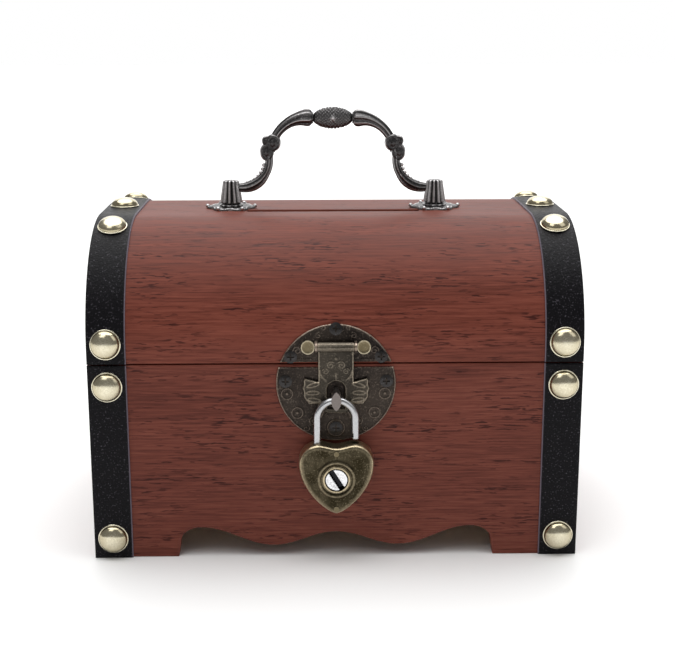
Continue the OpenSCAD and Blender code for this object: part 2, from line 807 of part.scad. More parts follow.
cam_r = 2;                  // the cam pin runs on this radius behind the plug
cam_gap = 0.18;             // room beside the cam pin in the bolt's slot
cam_reach = 1.7;            // length of the cam pin behind the plug
plug_tail = 0.6;            // how far the plug reaches behind the middle plane
plug_sink = 0.1;            // how far the plug's face lies behind the ring's
cam_d = 1.2;
cam_start = 45;             // the cam pin starts this many degrees to the left of the top

module key_plug() {
    color("#d8d9dc") place() difference() {
        union() {
            across(0, plug_z, -plug_tail, half_t + collar_rise - plug_sink, plug_d);
            across(-cam_r * sin(cam_start), plug_z + cam_r * cos(cam_start), -cam_reach, 0, cam_d);
        }
        translate([0, lock_y - half_t - 1.5, plug_z]) rotate([0, -plug_slot_lean, 0])
            translate([-plug_slot_w / 2, -2, -plug_d]) cube([plug_slot_w, 3.2, 2 * plug_d]);
    }
}

// Slides to the right when the cam turns, so that its nose enters the short leg's notch once the lock is shut.
module latch_bolt() {
    throw = 2 * cam_r * sin(cam_start);
    nose_x = leg_pitch / 2 - wire_d / 2 + 0.5 - throw;
    notch_shut = short_leg_end + notch_up - lock_travel;
    cam_x = -cam_r * sin(cam_start);
    slot_half = cam_d / 2 + cam_gap;
    color("#b0a878") place() translate([0, lock_y, 0]) difference() {
        union() {
            translate([-3.2, 0.9, plug_z - 0.3]) cube([nose_x + 3.2, 0.8, rivet_zs[0] - 1 - plug_z]);
            translate([nose_x - 1.8, -0.6, rivet_zs[0] - 2]) cube([1.1, 2.3, notch_shut + 0.95 - rivet_zs[0] + 2]);
            translate([nose_x - 1.8, -0.6, notch_shut + 0.15]) cube([1.8, 1.2, 0.8]);
        }
        translate([cam_x - slot_half, 0, plug_z + cam_r * cos(cam_start) - cam_d])
            cube([2 * slot_half, 3, cam_r + cam_d]);
    }
}

// Coil under the long leg that pushes the lock open: one round wire on a helix, swept as a polyhedron.
spring_turns = 5;
spring_wire = 0.4;
spring_r = 0.85;
spring_rise = 7.4;
spring_foot = long_leg_end - spring_rise - spring_wire;
spring_sides = 8;
spring_rings = 60;

function spring_point(i, j) =
    let (a = 360 * spring_turns * i / spring_rings, b = 360 * j / spring_sides,
        r = spring_r + spring_wire / 2 * cos(b))
    [r * cos(a), r * sin(a), spring_rise * i / spring_rings + spring_wire / 2 * sin(b)];

module shackle_spring() {
    n = spring_sides;
    color("#9a9a98") place() translate([-leg_pitch / 2, lock_y, spring_foot + spring_wire / 2])
        polyhedron(
            points = [for (i = [0:spring_rings], j = [0:n - 1]) spring_point(i, j)],
            faces = concat(
                [for (i = [0:spring_rings - 1], j = [0:n - 1])
                    [i * n + j, i * n + (j + 1) % n, (i + 1) * n + (j + 1) % n]],
                [for (i = [0:spring_rings - 1], j = [0:n - 1])
                    [i * n + j, (i + 1) * n + (j + 1) % n, (i + 1) * n + j]],
                [[for (j = [n - 1:-1:0]) j]],
                [[for (j = [0:n - 1]) spring_rings * n + j]]));
}

// ---------- hinges ----------

// The lid carries the middle knuckle, the case the two outer ones.
knuckle_w = (hinge_w - 2 * side_gap) / 3;
leaf_clear = knuckle_d / 2 + side_gap;      // the leaf stays this far from the axis beside the knuckles
hinge_screws = [[-5, 6.5], [5, 6.5]];       // across and away from the axis

module at_hinges() {
    for (side = [-1, 1]) translate([side * hinge_x, back_y + hinge_out, hinge_z]) children();
}

module knuckle(x0, bore) {
    translate([x0, 0, 0]) rotate([0, 90, 0]) difference() {
        cylinder(d = knuckle_d, h = knuckle_w);
        translate([0, 0, -over]) cylinder(d = bore, h = knuckle_w + 2 * over);
    }
}

// Web from a knuckle back to its leaf; dir = 1 up for the lid, -1 down for the case.
module leaf_web(x0, dir, bore) {
    z0 = dir > 0 ? 0.3 : -leaf_clear - 0.3;
    difference() {
        translate([x0, -hinge_out, z0]) cube([knuckle_w, leaf_t, leaf_clear]);
        rotate([0, 90, 0]) cylinder(d = bore, h = 4 * hinge_w, center = true);
    }
}

module leaf_plate(dir) {
    z0 = dir > 0 ? leaf_clear : -leaf_clear - leaf_h + 2;
    difference() {
        translate([-hinge_w / 2, -hinge_out, z0]) cube([hinge_w, leaf_t, leaf_h - 2]);
        for (p = hinge_screws) translate([p[0], -hinge_out - over, dir * p[1]]) rotate([-90, 0, 0])
            cylinder(d = screw_d, h = leaf_t + 2 * over);
    }
}

module hinge_leaves_case() {
    color("#8d7b45") place() at_hinges() {
        leaf_plate(-1);
        for (x0 = [-hinge_w / 2, hinge_w / 2 - knuckle_w]) {
            knuckle(x0, hinge_pin_d);
            leaf_web(x0, -1, hinge_pin_d);
        }
    }
}

module hinge_leaves_lid() {
    color("#8d7b45") place() at_hinges() {
        leaf_plate(1);
        knuckle(-knuckle_w / 2, hinge_pin_d + 2 * run_gap);
        leaf_web(-knuckle_w / 2, 1, hinge_pin_d + 2 * run_gap);
    }
}

module hinge_pins() {
    color("#8d7b45") place() at_hinges() translate([-hinge_w / 2, 0, 0]) rotate([0, 90, 0])
        cylinder(d = hinge_pin_d, h = hinge_w);
}

hinge_screw_in = 3;
module hinge_screw_frames(dir) {
    at_hinges() for (p = hinge_screws) translate([p[0], leaf_t - hinge_out, dir * p[1]]) rotate([-90, 0, 0])
        children();
}
module hinge_screw_shanks(dir) { hinge_screw_frames(dir) screw_hole(hinge_screw_in); }
module hinge_screws_case() { color("#8d7b45") place() hinge_screw_frames(-1) screw(hinge_screw_in); }
module hinge_screws_lid() { color("#8d7b45") place() hinge_screw_frames(1) screw(hinge_screw_in); }

front_board();
back_board();
side_board_left();
side_board_right();
floor_board();
strap_front_left();
strap_front_right();
strap_back_left();
strap_back_right();
case_studs();
hasp_plate_lower();
hasp_screws_lower();
staple();
hinge_leaves_case();
hinge_pins();
hinge_screws_case();
lid_shell();
lid_end_left();
lid_end_right();
lid_rail_front();
lid_rail_back();
strap_lid_left();
strap_lid_right();
lid_studs();
hasp_plate_upper();
hasp_screws_upper();
hasp_rivets();
flap_pin();
hinge_leaves_lid();
hinge_screws_lid();
handle_post_left();
handle_post_right();
handle_rose_left();
handle_rose_right();
handle_washers();
handle_nuts();
bail();
hasp_flap();
shackle();
padlock_front();
padlock_back();
padlock_rivets();
lock_barrel();
shackle_spring();
key_plug();
latch_bolt();
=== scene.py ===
"""Looks of a small wooden money box shaped like a chest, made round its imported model.

Sizes are in millimetres until a piece is finished. The axes are the model's: +X right, +Y back, +Z up.
"""

import logging
import math
from dataclasses import dataclass, field
from enum import Enum
from typing import Callable, Optional, Sequence

import bmesh
import bpy
import numpy as np
from mathutils import Matrix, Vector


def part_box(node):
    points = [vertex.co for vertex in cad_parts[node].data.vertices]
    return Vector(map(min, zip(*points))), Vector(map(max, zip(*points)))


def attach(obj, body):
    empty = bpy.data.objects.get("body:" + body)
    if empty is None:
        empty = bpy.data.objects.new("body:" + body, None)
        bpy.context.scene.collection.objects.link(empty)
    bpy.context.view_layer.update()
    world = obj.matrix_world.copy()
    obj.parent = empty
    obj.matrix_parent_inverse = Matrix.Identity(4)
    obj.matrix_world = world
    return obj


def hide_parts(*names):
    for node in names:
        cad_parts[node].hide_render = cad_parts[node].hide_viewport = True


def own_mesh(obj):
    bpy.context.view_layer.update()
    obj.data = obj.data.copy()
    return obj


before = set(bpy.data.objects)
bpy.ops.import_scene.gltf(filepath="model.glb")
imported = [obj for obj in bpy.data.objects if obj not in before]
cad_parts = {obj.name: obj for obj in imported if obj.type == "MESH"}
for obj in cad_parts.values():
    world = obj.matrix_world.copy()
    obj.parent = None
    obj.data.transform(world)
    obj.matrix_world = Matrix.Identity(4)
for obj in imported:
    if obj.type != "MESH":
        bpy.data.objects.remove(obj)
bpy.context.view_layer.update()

LOG = logging.getLogger("money_box")
MM = 0.001
TAU = 2 * math.pi
SHARP_ANGLE = math.radians(38)
Array = np.ndarray
Place = Callable[[Array, Array, Array], Array]


class Body(Enum):
    """The moving bodies that pieces ride on."""

    CASE = "case"
    LID = "lid"
    HANDLE = "handle"
    FLAP = "flap"
    SHACKLE = "shackle"
    PADLOCK = "padlock_case"
    PLUG = "plug"
    LATCH = "latch"


class Grain(Enum):
    """The direction in which the wood's fibres run."""

    ACROSS = (1.0, 0.0, 0.0)
    DEEP = (0.0, 1.0, 0.0)


# ---------------------------------------------------------------- shapes


def stack(x: Array, y: Array, z: Array) -> Array:
    """Joins three coordinate arrays into points.

    Args:
        x: Coordinates to the right.
        y: Coordinates to the back.
        z: Coordinates upwards.

    Returns:
        One array with a last axis of three.
    """
    return np.stack(np.broadcast_arrays(x, y, z), axis=-1).astype(float)


def nearest_on(line: Array, u: Array, v: Array, closed: bool) -> tuple[Array, Array, Array]:
    """Finds the nearest point of a polyline to each point.

    The distance to each stretch is that of the point to its foot on the stretch, held between the two ends.

    Args:
        line: Corners of the polyline, n x 2.
        u: First coordinate of the points.
        v: Second coordinate of the points.
        closed: Whether the last corner joins the first.

    Returns:
        The distances and the two coordinates of the nearest points.
    """
    ends = np.roll(line, -1, axis=0) if closed else line[1:]
    starts = line if closed else line[:-1]
    best = np.full(u.shape, np.inf)
    near_u, near_v = np.array(u, float), np.array(v, float)
    for (au, av), (bu, bv) in zip(starts, ends):
        du, dv = bu - au, bv - av
        length = du * du + dv * dv + 1e-12
        t = np.clip(((u - au) * du + (v - av) * dv) / length, 0, 1)
        pu, pv = au + t * du, av + t * dv
        gap = np.hypot(u - pu, v - pv)
        closer = gap < best
        best = np.where(closer, gap, best)
        near_u, near_v = np.where(closer, pu, near_u), np.where(closer, pv, near_v)
    return best, near_u, near_v


def inside(loops: Sequence[Array], u: Array, v: Array) -> Array:
    """Tells which points lie inside the loops, by counting the edges that a ray to the right crosses.

    Args:
        loops: Closed outlines, each n x 2.
        u: First coordinate of the points.
        v: Second coordinate of the points.

    Returns:
        True where the count is odd.
    """
    odd = np.zeros(u.shape, bool)
    for loop in loops:
        for (au, av), (bu, bv) in zip(loop, np.roll(loop, -1, axis=0)):
            if av == bv:
                continue
            crosses = ((av > v) != (bv > v)) & (u < (bu - au) * (v - av) / (bv - av) + au)
            odd ^= crosses
    return odd


def depth_in(loops: Sequence[Array], u: Array, v: Array) -> tuple[Array, Array, Array]:
    """Works out how deep points lie inside an outline.

    Args:
        loops: The outer loop and any holes.
        u: First coordinate of the points.
        v: Second coordinate of the points.

    Returns:
        The depth, negative outside, and the nearest points on the outline.
    """
    found = [nearest_on(loop, u, v, True) for loop in loops]
    gap, near_u, near_v = found[0]
    for other, other_u, other_v in found[1:]:
        closer = other < gap
        gap = np.where(closer, other, gap)
        near_u, near_v = np.where(closer, other_u, near_u), np.where(closer, other_v, near_v)
    return np.where(inside(loops, u, v), gap, -gap), near_u, near_v


def graded(low: float, high: float, step: float, fine: Sequence[float] = (0.08, 0.2, 0.4, 0.7)) -> Array:
    """Grid lines between two edges, closer together near both.

    Args:
        low: First edge.
        high: Last edge.
        step: Spacing in the middle.
        fine: Distances from each edge at which further lines lie.

    Returns:
        The sorted lines.
    """
    reach = [f for f in fine if f < (high - low) / 2 - 0.05]
    a, b = low + (reach[-1] if reach else 0), high - (reach[-1] if reach else 0)
    middle = np.linspace(a, b, max(2, int(round((b - a) / step)) + 1))
    near_low, near_high = low + np.array(reach), high - np.array(reach)
    return np.unique(np.concatenate([[low, high], near_low, near_high, middle]).round(5))


def rounded(depth: Array, radius: float) -> Array:
    """How far a surface drops near its edge when the arris is a quarter circle of the given radius."""
    near = np.clip(radius - depth, 0, radius)
    return radius - np.sqrt(np.maximum(radius * radius - near * near, 0))


def circle(cu: float, cv: float, radius: float, count: int = 64, start: float = 0, turn: float = TAU) -> Array:
    """Points on a circle or an arc, counted anticlockwise from start, in radians."""
    a = start + turn * np.arange(count + (turn < TAU)) / count
    return np.stack([cu + radius * np.cos(a), cv + radius * np.sin(a)], axis=1)


def ring(cu: float, cv: float, radius: float) -> Array:
    """A circle whose last point is its first one."""
    return circle(cu, cv, radius, 24)[list(range(24)) + [0]]


def mirrored(line: Array) -> Array:
    """The same line on the other side of the middle, run backwards."""
    return (line * (-1, 1))[::-1]


@dataclass
class Relief:
    """Raised lines and bosses on a plate.

    At a distance d, a line is height exp(-(d / width)^2) high and a boss is height exp(-(d / radius)^4) high.
    The highest of them counts.
    """

    strokes: list[tuple[Array, float, float]] = field(default_factory=list)
    bosses: list[tuple[float, float, float, float]] = field(default_factory=list)

    def line(self, points: Array, width: float, height: float, both_sides: bool = False) -> None:
        """Adds a raised line, and its mirror image if asked."""
        self.strokes.append((points, width, height))
        if both_sides:
            self.strokes.append((mirrored(points), width, height))

    def boss(self, u: float, v: float, radius: float, height: float) -> None:
        """Adds a round boss."""
        self.bosses.append((u, v, radius, height))

    def rosette(self, u: float, v: float, radius: float, height: float) -> None:
        """Adds a ring with a boss in its middle."""
        self.line(ring(u, v, radius), 0.28, height)
        self.boss(u, v, radius * 0.32, height)

    def lift(self, u: Array, v: Array) -> Array:
        """Works out the height of the relief at each point.

        Args:
            u: First coordinate of the points.
            v: Second coordinate of the points.

        Returns:
            The heights, 0 away from every line and boss.
        """
        total = np.zeros(u.shape)
        for points, width, height in self.strokes:
            gap, _, _ = nearest_on(points, u, v, False)
            total = np.maximum(total, height * np.exp(-((gap / width) ** 2)))
        for cu, cv, radius, height in self.bosses:
            total = np.maximum(total, height * np.exp(-(((u - cu) ** 2 + (v - cv) ** 2) / radius**2) ** 2))
        return total


def curl(cu: float, cv: float, radius: float, turns: float, start: float, hand: float = 1.0) -> Array:
    """A scroll line: a spiral whose radius shrinks evenly from radius to a fifth of it.

    Args:
        cu: First coordinate of its middle.
        cv: Second coordinate of its middle.
        radius: Radius at its outer end.
        turns: How often it goes round.
        start: Direction of the outer end, in radians.
        hand: 1 to run anticlockwise, -1 to run clockwise.

    Returns:
        Its points, n x 2.
    """
    t = np.linspace(0, 1, int(18 * turns) + 6)
    r = radius * (1 - 0.8 * t)
    a = start + hand * TAU * turns * t
    return np.stack([cu + r * np.cos(a), cv + r * np.sin(a)], axis=1)


class Shape:
    """The surfaces of one piece while it is put together, with a mark from 0 to 1 at each point."""

    def __init__(self) -> None:
        """Starts with nothing in it."""
        self.points: list[Array] = []
        self.marks: list[Array] = []
        self.quads: list[Array] = []
        self.tris: list[Array] = []
        self.count = 0

    def add(self, points: Array, quads: Array, marks: Array, weld: bool = False) -> None:
        """Adds a surface.

        Args:
            points: n x 3 points.
            quads: m x 4 indices into them.
            marks: One mark for each point.
            weld: Whether points in the same place become one, which closes poles and seams.
        """
        tris = np.zeros((0, 3), int)
        if weld:
            _, keep, back = np.unique(points.round(4), axis=0, return_index=True, return_inverse=True)
            points, marks, quads = points[keep], marks[keep], back.reshape(-1)[quads]
            same = quads == np.roll(quads, -1, axis=1)
            short = same.sum(axis=1) == 1
            drop = np.argmax(same[short], axis=1)
            order = (drop[:, None] + np.array([[1, 2, 3]])) % 4
            tris = np.take_along_axis(quads[short], order, axis=1)
            quads = quads[same.sum(axis=1) == 0]
        self.points.append(points)
        self.marks.append(marks)
        self.quads.append(quads + self.count)
        self.tris.append(tris + self.count)
        self.count += len(points)

    def grid(self, points: Array, marks: Optional[Array] = None, around: bool = True) -> None:
        """Adds a surface given as rows of points.

        Args:
            points: rows x columns x 3 points.
            marks: A mark for each point, or for each row.
            around: Whether the last column joins the first.
        """
        rows, cols = points.shape[:2]
        index = np.arange(rows * cols).reshape(rows, cols)
        nxt = np.roll(index, -1, axis=1) if around else index[:, 1:]
        now = index if around else index[:, :-1]
        quads = np.stack([now[:-1], nxt[:-1], nxt[1:], now[1:]], axis=-1).reshape(-1, 4)
        flat = np.zeros(rows * cols) if marks is None else np.broadcast_to(marks, (rows, cols)).reshape(-1)
        self.add(points.reshape(-1, 3), quads, flat, weld=True)

    def finish(
        self, name: str, body: Body, slot: str, material: bpy.types.Material, replaces: Sequence[str] = ()
    ) -> bpy.types.Object:
        """Makes the Blender object, rides it on its body and hides the CAD nodes that it stands for.

        Args:
            name: The piece's name.
            body: The body it moves with.
            slot: The record's material slot; not used.
            material: Its material.
            replaces: CAD nodes that it stands for.

        Returns:
            The new object.
        """
        points, marks = np.concatenate(self.points) * MM, np.concatenate(self.marks)
        quads, tris = np.concatenate(self.quads), np.concatenate(self.tris)
        mesh = bpy.data.meshes.new(name)
        mesh.vertices.add(len(points))
        mesh.vertices.foreach_set("co", points.astype(np.float32).ravel())
        corners = np.concatenate([quads.ravel(), tris.ravel()]).astype(np.int32)
        mesh.loops.add(len(corners))
        mesh.loops.foreach_set("vertex_index", corners)
        starts = np.concatenate([np.arange(len(quads)) * 4, 4 * len(quads) + np.arange(len(tris)) * 3])
        mesh.polygons.add(len(starts))
        mesh.polygons.foreach_set("loop_start", starts.astype(np.int32))
        mesh.update(calc_edges=True)
        mesh.validate()
        work = bmesh.new()
        work.from_mesh(mesh)
        bmesh.ops.recalc_face_normals(work, faces=work.faces)
        work.to_mesh(mesh)
        work.free()
        mark = mesh.attributes.new("mark", "FLOAT", "POINT")
        if len(mesh.vertices) == len(marks):
            mark.data.foreach_set("value", marks.astype(np.float32))
        mesh.shade_smooth()
        mesh.set_sharp_from_angle(angle=SHARP_ANGLE)
        mesh.materials.append(material)
        piece = bpy.data.objects.new(name, mesh)
        bpy.context.scene.collection.objects.link(piece)
        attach(piece, body.value)
        if replaces:
            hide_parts(*replaces)
        LOG.info("%s: %d points, %d faces", name, len(points), len(starts))
        return piece


@dataclass
class Sheet:
    """A plate with a worked face, laid out on lines of u and v.

    place turns u, v and a height into a point. top, bottom and mark are functions of u, v and the depth inside
    the outline, and warp bends the lines of u and v.
    """

    us: Array
    vs: Array
    place: Place
    top: Callable[[Array, Array, Array], Array]
    bottom: Callable[[Array, Array, Array], Array]
    loops: Optional[Sequence[Array]] = None
    mark: Callable[[Array, Array, Array], Array] = lambda u, v, depth: np.zeros(u.shape)
    warp: Callable[[Array, Array], tuple[Array, Array]] = lambda u, v: (u, v)

    def into(self, shape: Shape) -> None:
        """Adds the plate's face, back and edges to a shape.

        Cells whose middle lies inside the outline are kept, and the corners on their rim move to the nearest
        point of the outline.

        Args:
            shape: Where the surfaces go.
        """
        u, v = self.warp(*np.meshgrid(self.us, self.vs, indexing="ij"))
        rows, cols = u.shape
        kept = np.ones((rows - 1, cols - 1), bool)
        if self.loops is not None:
            mid_u = (u[1:, 1:] + u[:-1, :-1] + u[1:, :-1] + u[:-1, 1:]) / 4
            mid_v = (v[1:, 1:] + v[:-1, :-1] + v[1:, :-1] + v[:-1, 1:]) / 4
            kept = inside(self.loops, mid_u, mid_v)
            depth, near_u, near_v = depth_in(self.loops, u, v)
        wide = np.pad(kept, 1)
        around = np.stack([wide[1:, 1:], wide[:-1, 1:], wide[1:, :-1], wide[:-1, :-1]])
        rim = around.any(axis=0) & ~around.all(axis=0)
        if self.loops is not None:
            u, v = np.where(rim, near_u, u), np.where(rim, near_v, v)
            depth = np.where(rim, 0, np.maximum(depth, 0))
        else:
            depth = np.minimum.reduce([u - u.min(), u.max() - u, v - v.min(), v.max() - v])
        face = self.place(u, v, self.top(u, v, depth)).reshape(-1, 3)
        back = self.place(u, v, self.bottom(u, v, depth)).reshape(-1, 3)
        marks = self.mark(u, v, depth).reshape(-1)
        index = np.arange(rows * cols).reshape(rows, cols)
        corner = (index[:-1, :-1], index[1:, :-1], index[1:, 1:], index[:-1, 1:])
        front = np.stack([c[kept] for c in corner], axis=1)
        n = rows * cols
        walls = []
        sides = (
            (0, 1, wide[1:-1, :-2]), (1, 2, wide[2:, 1:-1]), (2, 3, wide[1:-1, 2:]), (3, 0, wide[:-2, 1:-1]),
        )
        for p, q, neighbour in sides:
            open_edge = kept & ~neighbour
            a, b = corner[p][open_edge], corner[q][open_edge]
            walls.append(np.stack([a, a + n, b + n, b], axis=1))
        quads = np.concatenate([front, front[:, ::-1] + n, *walls])
        used = np.unique(quads)
        renumber = np.zeros(2 * n, int)
        renumber[used] = np.arange(len(used))
        points = np.concatenate([face, back])[used]
        shape.add(points, renumber[quads], np.concatenate([marks, marks])[used])


def sweep(shape: Shape, path: Array, radius: Array, flutes: int = 0, cut: float = 0.0, sides: int = 40,
          flat: float = 1.0, shine: float = 0.0) -> None:
    """Carries a fluted round along a path in the upright plane y = constant.

    A point lies at path + r (cos a n + flat sin a y), where n is square to the path in its plane, and
    r = radius (1 + cut cos(flutes a)).

    Args:
        shape: Where the surface goes.
        path: n x 3 points.
        radius: One radius for each.
        flutes: Number of ridges round it.
        cut: Depth of the ridges, as a share of the radius.
        sides: Points round it.
        flat: Thickness from front to back, as a share of the height.
        shine: Mark at the crest of a ridge.
    """
    along = np.gradient(path, axis=0)
    along /= np.maximum(np.linalg.norm(along, axis=1, keepdims=True), 1e-9)
    deep = np.array([0.0, 1.0, 0.0])
    out = np.cross(along, deep)
    a = TAU * np.arange(sides) / sides
    ridge = np.cos(flutes * a)
    r = radius[:, None] * (1 + cut * ridge)
    points = path[:, None] + r[..., None] * (
        np.cos(a)[None, :, None] * out[:, None] + flat * np.sin(a)[None, :, None] * deep
    )
    shape.grid(points, shine * np.clip(0.5 + ridge / 2, 0, 1)[None, :] ** 3 * np.ones((len(path), 1)))


def capped(path: Array, radius: Array) -> tuple[Array, Array]:
    """Closes a swept round at both ends by repeating its end points with a radius of nothing."""
    return (
        np.concatenate([path[:1], path, path[-1:]]),
        np.concatenate([[0.0], radius, [0.0]]),
    )


def revolve(shape: Shape, profile: Array, place: Place, sides: int = 40, flutes: int = 0,
            cut: Optional[Array] = None, marks: Optional[Array] = None) -> None:
    """Turns a profile of radius and height about its own axis.

    Args:
        shape: Where the surface goes.
        profile: n x 2 radii and heights, from the axis or back to it.
        place: Turns the two flat coordinates and the height into a point.
        sides: Points round it.
        flutes: Number of ridges round it.
        cut: Depth of the ridges at each point of the profile.
        marks: One mark for each point of the profile.
    """
    a = TAU * np.arange(sides) / sides
    deep = np.zeros(len(profile)) if cut is None else cut
    r = profile[:, :1] * (1 + deep[:, None] * np.cos(flutes * a)[None])
    h = np.repeat(profile[:, 1:], sides, axis=1)
    mark = np.zeros(len(profile)) if marks is None else marks
    if flutes:
        mark = mark[:, None] * (0.5 + 0.5 * np.cos(flutes * a))[None]
    else:
        mark = np.repeat(mark[:, None], sides, axis=1)
    shape.grid(place(r * np.cos(a), r * np.sin(a), h), mark)


def bead(shape: Shape, x: float, y: float, z: float, radius: float, mark: float = 1.0) -> None:
    """Adds a small ball, as half a circle turned about the upright axis.

    Args:
        shape: Where the surface goes.
        x: Place of its middle to the right.
        y: Place of its middle to the back.
        z: Height of its middle.
        radius: Its radius.
        mark: Its mark all over.
    """
    a = np.linspace(-math.pi / 2, math.pi / 2, 9)
    profile = np.stack([radius * np.cos(a), radius * np.sin(a)], axis=1)
    profile[[0, -1], 0] = 0
    revolve(shape, profile, lambda u, v, h: stack(x + u, y + v, z + h), 14, marks=np.full(9, mark))


# ---------------------------------------------------------------- finishes


class Wiring:
    """A material's node tree, wired with short calls."""

    def __init__(self, name: str) -> None:
        """Starts a material with one Principled shader."""
        self.material = bpy.data.materials.new(name)
        self.material.use_nodes = True
        self.tree = self.material.node_tree
        self.shader = self.tree.nodes["Principled BSDF"]
        self.place = self.node("ShaderNodeTexCoord").outputs["Object"]

    def node(self, kind: str, **settings: object) -> bpy.types.Node:
        """Adds a node and sets its options."""
        made = self.tree.nodes.new(kind)
        for key, value in settings.items():
            setattr(made, key, value)
        return made

    def join(self, source: object, target: object) -> None:
        """Links an output to an input, or sets the input where the source is a plain value."""
        if isinstance(source, bpy.types.NodeSocket):
            self.tree.links.new(source, target)
        else:
            target.default_value = source

    def scaled(self, scale: Sequence[float]) -> bpy.types.NodeSocket:
        """Object coordinates stretched by a factor on each axis."""
        mapping = self.node("ShaderNodeMapping")
        mapping.inputs["Scale"].default_value = tuple(scale)
        self.join(self.place, mapping.inputs["Vector"])
        return mapping.outputs["Vector"]

    def noise(self, scale: Sequence[float], detail: float, rough: float, warp: float = 0) -> object:
        """Adds noise on stretched coordinates.

        Args:
            scale: Patches per metre on each axis.
            detail: Number of finer layers.
            rough: Weight of each finer layer.
            warp: How far it bends its own coordinates.

        Returns:
            The output, from 0 to 1.
        """
        made = self.node("ShaderNodeTexNoise")
        made.inputs["Scale"].default_value = 1
        made.inputs["Detail"].default_value = detail
        made.inputs["Roughness"].default_value = rough
        made.inputs["Distortion"].default_value = warp
        self.join(self.scaled(scale), made.inputs["Vector"])
        return made.outputs["Fac"]

    def cells(self, scale: float) -> object:
        """Distance to the nearest of scattered points, scale being points per metre."""
        made = self.node("ShaderNodeTexVoronoi")
        made.inputs["Scale"].default_value = scale
        self.join(self.place, made.inputs["Vector"])
        return made.outputs["Distance"]

    def curve(self, value: object, stops: Sequence[tuple[float, Sequence[float]]]) -> object:
        """Blends a colour for each value between the stops.

        Args:
            value: Where to look the colour up, from 0 to 1.
            stops: Positions and their colours.

        Returns:
            The colour's output.
        """
        ramp = self.node("ShaderNodeValToRGB")
        table = ramp.color_ramp.elements
        while len(table) < len(stops):
            table.new(0.5)
        for element, (position, colour) in zip(table, stops):
            element.position = position
            element.color = (*colour, 1)
        self.join(value, ramp.inputs["Fac"])
        return ramp.outputs["Color"]

    def ramp(self, value: object, low: float, high: float, out_low: float = 0, out_high: float = 1) -> object:
        """A value stretched from one range onto another and held inside it."""
        made = self.node("ShaderNodeMapRange")
        for socket, number in zip(made.inputs, (value, low, high, out_low, out_high)):
            self.join(number, socket)
        return made.outputs["Result"]

    def maths(self, operation: str, a: object, b: object) -> object:
        """One sum on two values."""
        made = self.node("ShaderNodeMath", operation=operation)
        made.use_clamp = operation in ("ADD", "SUBTRACT")
        self.join(a, made.inputs[0])
        self.join(b, made.inputs[1])
        return made.outputs[0]

    def mix(self, share: object, a: object, b: object) -> object:
        """Mixes two colours.

        Args:
            share: How much of the second one, from 0 to 1.
            a: The first colour.
            b: The second colour.

        Returns:
            The mixed colour's output.
        """
        made = self.node("ShaderNodeMix", data_type="RGBA")
        sockets = [s for s in made.inputs if s.enabled]
        for socket, value in zip(sockets, (share, a, b)):
            if not isinstance(value, (bpy.types.NodeSocket, float, int)):
                value = (*value, 1)
            self.join(value, socket)
        return [s for s in made.outputs if s.enabled][0]

    def mark(self) -> object:
        """The mark that a piece's points carry."""
        return self.node("ShaderNodeAttribute", attribute_name="mark").outputs["Fac"]

    def bump(self, height: object, reach_mm: float, strength: float = 1.0, under: object = None) -> object:
        """Adds a bump.

        Args:
            height: The pattern, from 0 to 1.
            reach_mm: How far 1 stands above 0.
            strength: How strongly it tilts the surface.
            under: A bump that this one lies on.

        Returns:
            The normal's output.
        """
        made = self.node("ShaderNodeBump")
        made.inputs["Strength"].default_value = strength
        made.inputs["Distance"].default_value = reach_mm * MM
        self.join(height, made.inputs["Height"])
        if under is not None:
            self.join(under, made.inputs["Normal"])
        return made.outputs["Normal"]

    def shade(self, **values: object) -> bpy.types.Material:
        """Feeds the shader's sockets, named in lower case with underscores, and returns the material."""
        names = {s.name.lower().replace(" ", "_"): s for s in self.shader.inputs}
        for key, value in values.items():
            if key == "base_color" and not isinstance(value, bpy.types.NodeSocket):
                value = (*value, 1)
            self.join(value, names[key])
        return self.material


@dataclass(frozen=True)
class WoodFinish:
    """Stained and lacquered wood: long fibres, broad streaks and short dark pores along the grain."""

    name: str
    grain: Grain
    deep: tuple[float, float, float] = (0.078, 0.0155, 0.0092)
    body: tuple[float, float, float] = (0.145, 0.0345, 0.0212)
    light: tuple[float, float, float] = (0.215, 0.061, 0.04)
    pore: tuple[float, float, float] = (0.03, 0.003, 0.0015)
    gloss: float = 0.5

    def along(self, long: float, short: float) -> tuple[float, float, float]:
        """Scales for a pattern with long patches per metre along the grain and short ones across it."""
        return tuple(long if g else short for g in self.grain.value)

    def make(self) -> bpy.types.Material:
        """Builds the material."""
        w = Wiring(self.name)
        fibres = w.noise(self.along(60, 1500), 5, 0.62, 0.25)
        streaks = w.noise(self.along(9, 60), 3, 0.5, 0.6)
        tone = w.maths("ADD", w.maths("MULTIPLY", fibres, 0.7), w.maths("MULTIPLY", streaks, 0.3))
        colour = w.curve(tone, [(0.34, self.deep), (0.5, self.body), (0.66, self.light)])
        pores = w.ramp(w.noise(self.along(230, 1900), 2, 0.45, 0.3), 0.56, 0.64)
        gaps = w.ramp(w.noise(self.along(36, 230), 3, 0.6), 0.44, 0.6, 0.12, 1)
        dashes = w.maths("MULTIPLY", pores, gaps)
        colour = w.mix(w.maths("MULTIPLY", dashes, 0.9), colour, self.pore)
        # The mark pales the colour towards the light tone: along the arrises, and on the lid also a painted
        # highlight along the creases.
        worn = w.ramp(w.mark(), 0.0, 1.0, 0.0, 0.35)
        colour = w.mix(worn, colour, self.light)
        roughness = w.ramp(fibres, 0.3, 0.7, self.gloss - 0.06, self.gloss + 0.1)
        fine = w.bump(fibres, 0.04, 0.3)
        normal = w.bump(w.maths("SUBTRACT", 1.0, dashes), 0.06, 0.4, fine)
        return w.shade(base_color=colour, roughness=roughness, normal=normal, specular_ior_level=0.2)


